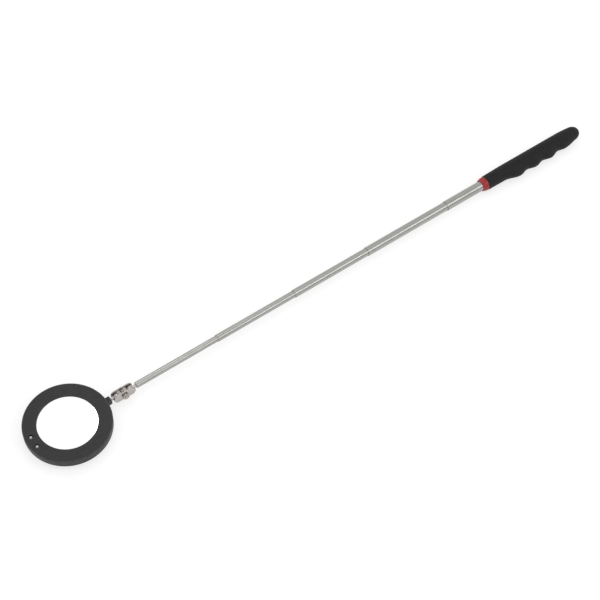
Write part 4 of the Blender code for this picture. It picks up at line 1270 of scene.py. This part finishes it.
    def make_screws(self) -> None:
        """The four screws of the cover, on their circle, and the one of the lid."""
        disc = Extent.of("back_cover")
        nodes = [f"cover_screw_{index}" for index in range(1, 5)]
        first = Extent.of(nodes[0])
        out = first.middle - disc.middle
        screws = grown(
            "cover_screws",
            self.circle,
            {
                "Piece": self.countersunk("cover_screw_pattern", nodes[0], self.cover_screw_shank),
                "Count": len(nodes),
                "Radius": math.hypot(out.x, out.y),
                "First Angle": math.atan2(out.y, out.x),
                "Largest Turn": math.pi,
                "Seed": 4,
                "Finish": self.palette["zinc_steel"],
            },
        )
        screws.data.transform(Matrix.Translation((disc.middle.x, disc.middle.y, first.low.z)))
        self.settle(screws, "head", "zinc_steel", *nodes)
        lid_screw = self.countersunk("lid_screw", "door_screw", self.lid_screw_shank)
        place = Extent.of("door_screw")
        lid_screw.data.transform(Matrix.Translation((place.middle.x, place.middle.y, place.low.z)))
        self.settle(lid_screw, "head", "zinc_steel", "door_screw")


@dataclass
class Electrics(SubAssembly):
    """The lamps, the slide switch's knob, and the parts inside that nobody sees."""

    row: bpy.types.NodeTree
    lens: float = 1.5 * MM
    flange_step: float = 0.35 * MM
    flange: float = 0.8 * MM
    lead: float = 0.22 * MM
    lead_pitch: float = 1.27 * MM
    lead_tail: float = 0.4 * MM

    def build(self) -> None:
        """Makes the lamps and the knob, and dresses the parts inside."""
        self.make_lamps()
        self.make_knob()
        self.carry_over(
            {
                "head_plastic": ("resistor",),
                "plated_steel": ("negative_contact", "positive_contact", "series_link", "switch_body"),
                "zinc_steel": ("board_screw_1", "board_screw_2", "stud_clip"),
                "foam": ("mirror_pad",),
                "cell_steel": ("coin_cell_1", "coin_cell_2"),
                "board_laminate": ("circuit_board",),
                "red_insulation": ("wire_red",),
                "black_insulation": ("wire_black",),
            }
        )

    def make_lamps(self) -> None:
        """The pair of lamps: two lenses, and the leads that hold them up."""
        first, second = Extent.of("led_1"), Extent.of("led_2")
        board = Extent.of("circuit_board")
        foot = board.high.z + 0.2 * MM
        top = first.high.z
        lens = turned(
            "lens",
            filleted(
                (
                    (0.0, top, 0.0),
                    (self.lens, top, self.lens * 0.96),
                    (self.lens, foot + self.flange, 0.0),
                    (self.lens + self.flange_step, foot + self.flange, 0.08 * MM),
                    (self.lens + self.flange_step, foot, 0.08 * MM),
                    (0.0, foot, 0.0),
                ),
                loop=False,
                steps=10,
            ),
            steps=48,
        )
        place = Vector((first.middle.x, first.middle.y, 0.0))
        step = Vector((second.middle.x, second.middle.y, 0.0)) - place
        lenses = grown(
            "lamp_lenses",
            self.row,
            {"Piece": lens, "Count": 2, "First": place, "Step": step, "Finish": self.palette["led_resin"]},
        )
        self.settle(lenses, "head", "led_resin", "led_1", "led_2")
        low = board.low.z - self.lead_tail
        for name, side in (("lamp_leads_front", -1), ("lamp_leads_rear", 1)):
            lead = turned(
                "lead",
                filleted(
                    (
                        (0.0, foot - 0.02 * MM, 0.0),
                        (self.lead, foot - 0.02 * MM, 0.0),
                        (self.lead, low, 0.05 * MM),
                        (0.0, low, 0.0),
                    ),
                    loop=False,
                ),
                steps=16,
            )
            beside = place + Vector((0.0, side * self.lead_pitch / 2, 0.0))
            steel = self.palette["plated_steel"]
            leads = grown(
                name, self.row, {"Piece": lead, "Count": 2, "First": beside, "Step": step, "Finish": steel}
            )
            self.settle(leads, "head", "plated_steel")

    def make_knob(self) -> bpy.types.Object:
        """The slide switch's knob, ribbed for the thumb, with its stem."""
        whole = Extent.of("switch_slider")
        body = Extent.of("switch_body")
        top = body.low.z - 0.2 * MM
        middle = whole.middle
        knob = block(
            "slide_knob",
            Vector((whole.size.x, whole.size.y, top - whole.low.z)),
            Vector((middle.x, middle.y, (top + whole.low.z) / 2)),
            0.22 * MM,
        )
        stem_low = top - 0.5 * MM
        stem = block(
            "stem",
            Vector((1.0 * MM, 1.3 * MM, whole.high.z - stem_low)),
            Vector((middle.x, middle.y, (whole.high.z + stem_low) / 2)),
            0.1 * MM,
        )
        combine(knob, Boolean.JOIN, stem)
        groove = block("groove", Vector((2 * whole.size.x, 0.34 * MM, 0.34 * MM)), Vector(), 0.12 * MM)
        pitch = 0.8 * MM
        grooves = grown(
            "thumb_grooves",
            self.row,
            {
                "Piece": groove,
                "Count": 3,
                "First": Vector((middle.x, middle.y - pitch, whole.low.z)),
                "Step": Vector((0.0, pitch, 0.0)),
            },
        )
        combine(knob, Boolean.CUT, grooves)
        return self.settle(knob, "switch", "red_plastic", "switch_slider")


@dataclass
class BallClamp(SubAssembly):
    """Two ball studs, and the pressed plates, screw and nut that pinch them."""

    ball: float = 3.0 * MM
    neck: float = 1.5 * MM
    neck_fillet: float = 0.5 * MM
    pin: float = 1.5 * MM
    groove: float = 0.4 * MM
    ball_gap: float = 0.1 * MM
    plate_gap: float = 5.2 * MM
    plate: float = 1.3 * MM
    dome_wall: float = 1.05 * MM
    dome_blend: float = 0.5 * MM
    plate_edge: float = 0.4 * MM
    screw: float = 1.5 * MM
    thread_pitch: float = 0.5 * MM
    thread_depth: float = 0.27 * MM
    screw_head: float = 2.8 * MM
    screw_head_height: float = 1.8 * MM
    across_flats: float = 5.5 * MM
    nut_height: float = 2.4 * MM
    clearance: float = 0.2 * MM
    screw_tip: float = 0.8 * MM
    shank_inset: float = 0.35 * MM
    shank_length: float = 8.0 * MM
    shank_chamfer: float = 0.4 * MM
    pin_chamfer: float = 0.3 * MM

    def build(self) -> None:
        """Makes the studs, the plates, the screw and the nut."""
        self.make_arm_stud()
        self.make_head_stud()
        for name, facing, node in (
            ("clamp_near_plate", Facing.NEAR_SIDE, "clamp_plate_near"),
            ("clamp_far_plate", Facing.FAR_SIDE, "clamp_plate_far"),
        ):
            self.make_plate(name, facing, node)
        self.make_screw()
        self.make_nut()

    @property
    def centre(self) -> Vector:
        """The middle of the clamp, halfway between its balls on the arm's axis."""
        plates = Extent.of("clamp_plate_near")
        return Vector((plates.middle.x, 0.0, Extent.of("tube_5").middle.z))

    @property
    def half_spacing(self) -> float:
        """Half the distance between the two balls."""
        return Extent.of("arm_ball_stud").low.x + self.ball - self.centre.x

    def ball_profile(self) -> Profile:
        """The ball from its far pole down to where its neck begins, as (radius, distance)."""
        last = math.degrees(math.asin(self.neck / self.ball))
        count = 28
        sweep = 180 - last - 6
        angles = [math.radians(180 - sweep * i / count) for i in range(count + 1)]
        arc = [(self.ball * math.sin(a), self.ball * math.cos(a)) for a in angles]
        foot = math.sqrt(self.ball**2 - self.neck**2)
        return arc + [(self.neck, foot + self.neck_fillet * 0.5)]

    def make_arm_stud(self) -> bpy.types.Object:
        """The arm's ball: its neck widens into a shank that turns in the last tube."""
        whole = Extent.of("arm_ball_stud")
        tube = Extent.of("tube_5")
        shank = tube.size.y / 2 - self.shank_inset
        length = whole.high.x - whole.low.x - self.ball
        shoulder = length - self.shank_length
        profile = self.ball_profile() + [
            (self.neck, shoulder - (shank - self.neck) * 0.5),
            (shank, shoulder),
            (shank, length - self.shank_chamfer),
            (shank - self.shank_chamfer, length),
            (0.0, length),
        ]
        at = Facing.TO_GRIP.at(Vector((whole.low.x + self.ball, 0.0, tube.middle.z)))
        return self.settle(turned("arm_stud", profile, at, 64), "arm_stud", "plated_steel", "arm_ball_stud")

    def make_head_stud(self) -> bpy.types.Object:
        """The head's ball: its pin turns in the boss and has a groove for the clip."""
        whole = Extent.of("head_ball_stud")
        clip = Extent.of("stud_clip")
        ball_x = whole.high.x - self.ball
        length = ball_x - whole.low.x
        groove_start = ball_x - clip.high.x - self.clearance
        groove_end = ball_x - clip.low.x + self.clearance
        profile = self.ball_profile() + [
            (self.pin, groove_start),
            (self.pin - self.groove, groove_start),
            (self.pin - self.groove, groove_end),
            (self.pin, groove_end),
            (self.pin, length - self.pin_chamfer),
            (self.pin - self.pin_chamfer, length),
            (0.0, length),
        ]
        at = Facing.TO_HEAD.at(Vector((ball_x, 0.0, self.centre.z)))
        stud = turned("head_stud", profile, at, 64)
        return self.settle(stud, "head_stud", "plated_steel", "head_ball_stud")

    def outer_height(self, x: float, y: float) -> float:
        """Height of a plate's outside over the arm's axis, where the domes melt into the flat."""
        flat = self.plate_gap / 2 + self.plate
        radius = self.ball + self.ball_gap + self.dome_wall
        span = radius**2 - (abs(x) - self.half_spacing) ** 2 - y**2
        dome = math.sqrt(span) if span > 0.0 else 0.0
        overlap = max(self.dome_blend - abs(flat - dome), 0.0) / self.dome_blend
        return max(flat, dome) + overlap**2 * self.dome_blend / 4

    def inner_height(self, x: float, y: float) -> float:
        """Height of a plate's inside over the arm's axis, hollowed round each ball."""
        radius = self.ball + self.ball_gap
        span = radius**2 - (abs(x) - self.half_spacing) ** 2 - y**2
        return max(self.plate_gap / 2, math.sqrt(span) if span > 0.0 else 0.0)

    def make_plate(self, name: str, facing: Facing, node: str) -> bpy.types.Object:
        """One pressed plate, with a dome over each ball and a hole for the screw.

        Args:
            name: The plate's name.
            facing: The side that its domes are on.
            node: The CAD node that it stands for.

        Returns:
            The plate.
        """
        half_width = Extent.of("clamp_plate_near").size.x / 2 - self.half_spacing
        rows = 14
        flat = [(half_width - self.plate_edge) * i / rows for i in range(rows + 1)]
        rounding = [math.radians(15 * i) for i in range(1, 7)]
        rings = []
        for radius in flat:
            rings.append((radius, 0.0, True))
        for angle in rounding:
            inset = self.plate_edge * (1 - math.sin(angle))
            rings.append((half_width - inset, self.plate_edge * (1 - math.cos(angle)), True))
        for angle in reversed(rounding):
            inset = self.plate_edge * (1 - math.sin(angle)) / 2
            rings.append((half_width - inset, self.plate_edge * (1 - math.cos(angle)) / 2, False))
        for radius in reversed(flat):
            rings.append((radius, 0.0, False))
        skin = []
        for radius, drop, outside in rings:
            ring = slot_ring(radius, 0.0, self.half_spacing, 72, 32)
            for point in ring:
                if outside:
                    point.z = self.outer_height(point.x, point.y) - drop
                else:
                    point.z = self.inner_height(point.x, point.y) + drop
            skin.append(ring)
        plate = loft(name, skin)
        hole = self.screw + 0.15 * MM
        top = self.plate_gap / 2 + self.plate
        bore = turned(
            "screw_hole",
            [(0.0, top + THROUGH), (hole + THROUGH + 0.1 * MM, top + THROUGH), (hole, top - 0.1 * MM),
             (hole, 0.0), (0.0, 0.0)],
            steps=48,
        )
        combine(plate, Boolean.CUT, bore)
        plate.data.transform(facing.at(self.centre))
        return self.settle(plate, "clamp", "plated_steel", node)

    def threaded(self, start: float, end: float, steps: int) -> list[Ring]:
        """Rings of a helical thread along the screw's axis.

        Args:
            start: Height where the thread begins.
            end: Height where it ends.
            steps: Points in each ring.

        Returns:
            The rings, from start to end.
        """
        per_turn = 8
        count = int(abs(end - start) / self.thread_pitch * per_turn)
        rings = []
        for row in range(count + 1):
            height = start + (end - start) * row / count
            run_out = min(1.0, (count - row) / per_turn, row / per_turn + 0.2)
            ring = []
            for i in range(steps):
                phase = (height / self.thread_pitch - i / steps) % 1.0
                flank = abs(2 * phase - 1)
                radius = self.screw - self.thread_depth * (1 - flank * run_out)
                angle = 2 * math.pi * i / steps
                ring.append(Vector((radius * math.cos(angle), radius * math.sin(angle), height)))
            rings.append(ring)
        return rings

    def make_screw(self) -> bpy.types.Object:
        """The pan-head screw, from the top of its head to its threaded tip."""
        steps = 48
        face = self.plate_gap / 2 + self.plate + self.clearance
        head = filleted(
            (
                (0.0, face + self.screw_head_height, 0.0),
                (self.screw_head * 0.62, face + self.screw_head_height, 0.9 * MM),
                (self.screw_head, face + self.screw_head_height * 0.5, 0.5 * MM),
                (self.screw_head, face, 0.1 * MM),
                (self.screw, face, 0.0),
            ),
            loop=False,
        )
        rings = [slot_ring(radius, height, 0.0, steps) for radius, height in head]
        tip = -face - self.nut_height - self.screw_tip
        start = face - self.plate
        rings.append(slot_ring(self.screw, start + 0.2 * MM, 0.0, steps))
        thread = self.threaded(start, tip, steps)
        quarter = steps // 4
        thread = [ring[-quarter:] + ring[:-quarter] for ring in thread]
        rings += thread
        rings.append(slot_ring(0.0, tip, 0.0, steps))
        screw = loft("clamp_pinch_screw", rings)
        top = Vector((0.0, 0.0, face + self.screw_head_height))
        recess = cross_cutter("recess", 0.62 * MM, self.screw_head * 0.58, 1.1 * MM, Facing.UP.at(top))
        combine(screw, Boolean.CUT, recess)
        screw.data.transform(Facing.FAR_SIDE.at(self.centre))
        return self.settle(screw, "clamp", "zinc_steel", "clamp_screw")

    def make_nut(self) -> bpy.types.Object:
        """The hexagon nut, its corners chamfered by a cone on each face."""
        low = self.plate_gap / 2 + self.plate + self.clearance
        high = low + self.nut_height
        corner = self.across_flats / math.sqrt(3)
        nut = loft("clamp_pinch_nut", [slot_ring(corner, z, 0.0, 6) for z in (low, high)], caps=True)
        chamfer = 0.35 * MM
        flat = self.across_flats / 2
        cone = turned(
            "corner_chamfer",
            [(0.0, high), (flat, high), (corner + chamfer, high - chamfer - 0.2 * MM),
             (corner + chamfer, low + chamfer + 0.2 * MM), (flat, low), (0.0, low)],
            steps=96,
        )
        combine(nut, Boolean.KEEP_INSIDE, cone)
        bore = self.screw + 0.1 * MM
        hole = turned(
            "nut_bore",
            [(0.0, high + THROUGH), (bore + THROUGH + 0.25 * MM, high + THROUGH), (bore, high - 0.25 * MM),
             (bore, low + 0.25 * MM), (bore + THROUGH + 0.25 * MM, low - THROUGH), (0.0, low - THROUGH)],
            steps=48,
        )
        combine(nut, Boolean.CUT, hole)
        nut.data.transform(Facing.NEAR_SIDE.at(self.centre))
        return self.settle(nut, "clamp", "zinc_steel", "clamp_nut")


@dataclass
class Arm(SubAssembly):
    """The five telescopic sections, each one step thinner than the last."""

    section: bpy.types.NodeTree
    wall: float = 0.25 * MM
    run_gap: float = 0.08 * MM
    lip: float = 0.6 * MM
    edge: float = 0.1 * MM
    stud_hole: float = 1.7 * MM
    sections: int = 5
    sides: int = 96

    def build(self) -> None:
        """Draws each section, and dresses the sleeves that rub inside them."""
        for number in range(1, self.sections + 1):
            self.draw_section(number)
        sleeves = [f"friction_sleeve_{number}" for number in range(2, self.sections + 1)]
        self.carry_over({"brass": sleeves})

    def draw_section(self, number: int) -> bpy.types.Object:
        """One section, counted from the grip."""
        node = f"tube_{number}"
        whole = Extent.of(node)
        if number < self.sections:
            lip = Extent.of(f"tube_{number + 1}").size.y / 2 + self.run_gap
        else:
            lip = self.stud_hole
        tube = grown(
            f"arm_section_{number}",
            self.section,
            {
                "Outer Radius": whole.size.y / 2,
                "Wall": self.wall,
                "Length": whole.size.x,
                "Lip Radius": lip,
                "Lip Length": self.lip,
                "Edge Radius": self.edge,
                "Sides": self.sides,
                "Finish": self.palette["tube_steel"],
            },
        )
        tube.data.transform(Matrix.Translation((whole.low.x, whole.middle.y, whole.middle.z)))
        body = "handle" if number == 1 else f"section_{number}"
        return self.settle(tube, body, "tube_steel", node)


@dataclass
class Handle(SubAssembly):
    """The moulded grip with its finger ridges, and the red collar at its mouth."""

    first_ridge: float = 37.3 * MM
    first_ridge_run: float = 16.5 * MM
    ridge_pitch: float = 20.4 * MM
    ridge_count: int = 4
    ridge_depth: float = 2.4 * MM
    ridge_top: float = 11.85 * MM
    last_ridge_drop: float = 1.4 * MM
    flare: float = 22.0 * MM
    front_radius: float = 7.3 * MM
    palm_radius: float = 7.7 * MM
    half_height: float = 8.0 * MM
    palm_taper: float = 0.7 * MM
    finger_taper: float = 2.5 * MM
    height_taper: float = 1.0 * MM
    taper_power: float = 1.4
    tip_length: float = 10.0 * MM
    tip_aside: float = -0.4 * MM
    mouth_fillet: float = 0.5 * MM
    bore: float = 5.2 * MM
    collar_front: float = 5.9 * MM
    collar_back: float = 7.0 * MM
    sides: int = 96

    def build(self) -> None:
        """Makes the grip and its collar."""
        self.make_grip()
        self.make_collar()

    def section(self, along: float, length: float) -> tuple[float, float, float]:
        """The grip's size at a distance from its mouth.

        Args:
            along: The distance.
            length: Of the whole grip.

        Returns:
            How far the palm side and the finger side reach, and half the height.
        """
        flare = min(1.0, along / self.flare)
        palm = self.front_radius + (self.palm_radius - self.front_radius) * flare
        half_height = self.front_radius + (self.half_height - self.front_radius) * flare
        last_ridge = self.first_ridge + (self.ridge_count - 1) * self.ridge_pitch
        round_from = length - self.tip_length
        if along < self.first_ridge:
            climb = max(0.0, 1.0 - (self.first_ridge - along) / self.first_ridge_run)
            rise = (1 - math.cos(math.pi * climb)) / 2
            finger = self.front_radius + (self.ridge_top - self.front_radius) * rise
        elif along < last_ridge:
            turn = 2 * math.pi * (along - self.first_ridge) / self.ridge_pitch
            fade = max(0.0, (along - last_ridge + self.ridge_pitch) / self.ridge_pitch)
            finger = self.ridge_top - self.ridge_depth / 2 * (1 - math.cos(turn))
            finger -= self.last_ridge_drop * fade
        else:
            taper = min(1.0, (along - last_ridge) / (round_from - last_ridge)) ** self.taper_power
            palm -= self.palm_taper * taper
            finger = self.ridge_top - self.last_ridge_drop - self.finger_taper * taper
            half_height -= self.height_taper * taper
        if along > round_from:
            share = math.sqrt(max(0.0, 1.0 - ((along - round_from) / self.tip_length) ** 2))
            palm = self.tip_aside + (palm - self.tip_aside) * share
            finger = (finger + self.tip_aside) * share - self.tip_aside
            half_height *= share
        return palm, finger, half_height

    def stations(self, length: float) -> list[float]:
        """Distances from the mouth: close together at the mouth and the tip, even between."""
        mouth = [self.mouth_fillet * (1 - math.cos(math.radians(a))) for a in (0, 18, 36, 54, 72, 90)]
        straight = length - self.tip_length
        count = 110
        even = [self.mouth_fillet + (straight - self.mouth_fillet) * i / count for i in range(1, count + 1)]
        tip = [straight + self.tip_length * math.sin(math.radians(a)) for a in range(4, 89, 4)]
        return mouth + even + tip

    def make_grip(self) -> bpy.types.Object:
        """Lofts the grip through its sections and bores it for the first tube."""
        whole = Extent.of("grip")
        tube = Extent.of("tube_1")
        length = whole.size.x
        rings = []
        for along in self.stations(length):
            palm, finger, half_height = self.section(along, length)
            short = max(0.0, self.mouth_fillet - along)
            inset = self.mouth_fillet - math.sqrt(self.mouth_fillet**2 - short**2)
            ring = []
            for i in range(self.sides):
                angle = 2 * math.pi * i / self.sides
                reach = palm if math.cos(angle) > 0.0 else finger
                y = (reach - inset) * math.cos(angle)
                z = (half_height - inset) * math.sin(angle)
                ring.append(Vector((whole.low.x + along, y, tube.middle.z + z)))
            rings.append(ring)
        rings.append([Vector((whole.high.x, self.tip_aside, tube.middle.z))] * self.sides)
        mouth = [Vector((whole.low.x, 0.0, tube.middle.z))] * self.sides
        grip = loft("handle_grip", [mouth, *rings])
        depth = tube.high.x + 2.0 * MM - whole.low.x
        bore = turned(
            "grip_bore",
            [(0.0, depth), (self.bore, depth), (self.bore, 0.3 * MM),
             (self.bore + 0.3 * MM + THROUGH, -THROUGH), (0.0, -THROUGH)],
            Facing.TO_GRIP.at(Vector((whole.low.x, 0.0, tube.middle.z))),
        )
        combine(grip, Boolean.CUT, bore)
        return self.settle(grip, "handle", "grip_rubber", "grip")

    def make_collar(self) -> bpy.types.Object:
        """The red collar, which widens from the tube to the grip."""
        whole = Extent.of("grip_collar")
        length = whole.size.x
        collar = turned(
            "handle_collar",
            filleted(
                (
                    (self.collar_front, 0.0, 0.5 * MM),
                    (self.bore, 0.0, 0.1 * MM),
                    (self.bore, length, 0.1 * MM),
                    (self.collar_back, length, 0.45 * MM),
                    (self.collar_back - 0.05 * MM, length - 2.4 * MM, 0.8 * MM),
                ),
                loop=True,
            ),
            Facing.TO_GRIP.at(Vector((whole.low.x, 0.0, whole.middle.z))),
        )
        return self.settle(collar, "handle", "red_plastic", "grip_collar")


# ------------------------------------------------------------------ studio


@dataclass(frozen=True)
class Studio:
    """A pale floor, soft lights and the camera."""

    floor_size: float = 12.0
    heading: float = 37.39  # degrees from +Y towards +X that the camera looks
    elevation: float = 55.43
    roll: float = 2.02
    distance: float = 1.38
    lens: float = 88.9
    aim: tuple[float, float] = (-0.0346, -0.0089)  # where the camera is aimed, on the floor
    key_place: tuple[float, float, float] = (0.52, -0.93, 1.06)
    key_size: tuple[float, float] = (1.1, 0.3)
    key_power: float = 3.2
    overhead_place: tuple[float, float, float] = (0.0, 0.3, 1.6)
    overhead_size: tuple[float, float] = (1.4, 1.4)
    overhead_power: float = 1.5
    panel_distance: float = 0.75
    panel_size: tuple[float, float] = (0.16, 0.16)
    panel_power: float = 0.25
    card_distance: float = 1.2
    card_length: float = 2.4
    cards: tuple[tuple[float, float], ...] = ((102.0, 0.12), (163.0, 0.16))  # angle and width

    def build(self) -> None:
        """Sets up the floor, the world, the lights and the camera."""
        self.make_floor()
        self.make_world()
        self.make_lights()
        self.make_cards()
        self.make_camera()
        bpy.context.scene.view_settings.view_transform = "Standard"

    def make_floor(self) -> None:
        """A wide floor of pale paper that gives back a little light of its own."""
        mesh = bmesh.new()
        bmesh.ops.create_grid(mesh, x_segments=1, y_segments=1, size=self.floor_size / 2)
        floor = object_from("studio_floor", mesh)
        paper = bpy.data.materials.new("studio_paper")
        paper.use_nodes = True
        shader = paper.node_tree.nodes["Principled BSDF"]
        shader.inputs["Base Color"].default_value = (0.35, 0.35, 0.35, 1.0)
        shader.inputs["Roughness"].default_value = 1.0
        shader.inputs["Specular IOR Level"].default_value = 0.0
        shader.inputs["Emission Color"].default_value = (1.0, 1.0, 1.0, 1.0)
        shader.inputs["Emission Strength"].default_value = 0.68
        floor.data.materials.append(paper)
        floor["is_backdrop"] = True

    def make_world(self) -> None:
        """An even grey surround."""
        world = bpy.data.worlds.new("studio_world")
        world.use_nodes = True
        surround = world.node_tree.nodes["Background"]
        surround.inputs["Color"].default_value = (1.0, 1.0, 1.0, 1.0)
        surround.inputs["Strength"].default_value = 0.9
        bpy.context.scene.world = world

    def area_light(
        self, name: str, place: Vector, target: Vector, size: tuple[float, float], power: float
    ) -> None:
        """Adds a rectangular light.

        Args:
            name: The light's name.
            place: Where it hangs.
            target: What it is aimed at.
            size: Its width and height.
            power: In watts.
        """
        data = bpy.data.lights.new(name, "AREA")
        data.shape = "RECTANGLE"
        data.size, data.size_y = size
        data.energy = power
        light = bpy.data.objects.new(name, data)
        light.location = place
        light.rotation_euler = (target - place).to_track_quat("-Z", "Y").to_euler()
        light.visible_camera = False
        bpy.context.scene.collection.objects.link(light)

    def make_lights(self) -> None:
        """A strip beside the arm, a panel that the mirror shows, and a soft light overhead."""
        arm = Vector((0.0, 0.0, 0.0))
        self.area_light("key_strip", Vector(self.key_place), arm, self.key_size, self.key_power)
        mirror = Extent.of("mirror_glass").middle
        forward = self.gaze()
        bounce = Vector((forward.x, forward.y, -forward.z))
        panel = mirror + bounce * self.panel_distance
        self.area_light("mirror_panel", panel, mirror, self.panel_size, self.panel_power)
        above = Vector(self.overhead_place)
        self.area_light("overhead", above, arm, self.overhead_size, self.overhead_power)

    def make_cards(self) -> None:
        """Dark cards along the arm that only shiny pieces see, as lines beside their highlights."""
        paper = bpy.data.materials.new("studio_black_card")
        paper.use_nodes = True
        shader = paper.node_tree.nodes["Principled BSDF"]
        shader.inputs["Base Color"].default_value = (0.0, 0.0, 0.0, 1.0)
        shader.inputs["Specular IOR Level"].default_value = 0.0
        for number, (angle, width) in enumerate(self.cards):
            out = Vector((0.0, math.cos(math.radians(angle)), math.sin(math.radians(angle))))
            mesh = bmesh.new()
            bmesh.ops.create_grid(mesh, x_segments=1, y_segments=1, size=0.5)
            card = object_from(f"studio_card_{number}", mesh)
            turn = out.to_track_quat("Z", "Y").to_matrix().to_4x4()
            spread = Matrix.Diagonal((self.card_length, width, 1.0, 1.0))
            card.data.transform(Matrix.Translation(out * self.card_distance) @ turn @ spread)
            card.data.materials.append(paper)
            card.visible_camera = False
            card.visible_diffuse = False
            card.visible_shadow = False
            card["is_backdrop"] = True

    def gaze(self) -> Vector:
        """The way that the camera looks."""
        heading, elevation = math.radians(self.heading), math.radians(self.elevation)
        flat = math.cos(elevation)
        return Vector((math.sin(heading) * flat, math.cos(heading) * flat, -math.sin(elevation)))

    def make_camera(self) -> None:
        """The camera, aimed a little to the head's side of the tool's middle."""
        low, high = (Vector(corner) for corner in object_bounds())
        target = Vector((*self.aim, (low.z + high.z) / 2))
        data = bpy.data.cameras.new("studio_camera")
        data.lens = self.lens
        data.clip_end = 2 * self.floor_size
        camera = bpy.data.objects.new("studio_camera", data)
        forward = self.gaze()
        right = forward.cross(Vector((0.0, 0.0, 1.0))).normalized()
        up = right.cross(forward)
        turn = Matrix((right, up, -forward)).transposed()
        lean = Matrix.Rotation(math.radians(self.roll), 3, "Z")
        camera.location = target - forward * self.distance
        camera.rotation_euler = (turn @ lean).to_euler()
        bpy.context.scene.collection.objects.link(camera)
        bpy.context.scene.camera = camera


def main() -> None:
    """Builds the studio, the finishes and the sub-assemblies in order."""
    logging.basicConfig(level=logging.INFO, format="%(name)s: %(message)s")
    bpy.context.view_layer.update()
    Studio().build()
    palette = Palette.mixed()
    row, circle, section = row_tree(), circle_tree(), section_tree()
    HeadShell(palette).build()
    MirrorPlate(palette).build()
    HeadBack(palette, row, circle).build()
    Electrics(palette, row).build()
    BallClamp(palette).build()
    Arm(palette, section).build()
    Handle(palette).build()


if __name__ == "__main__":
    main()
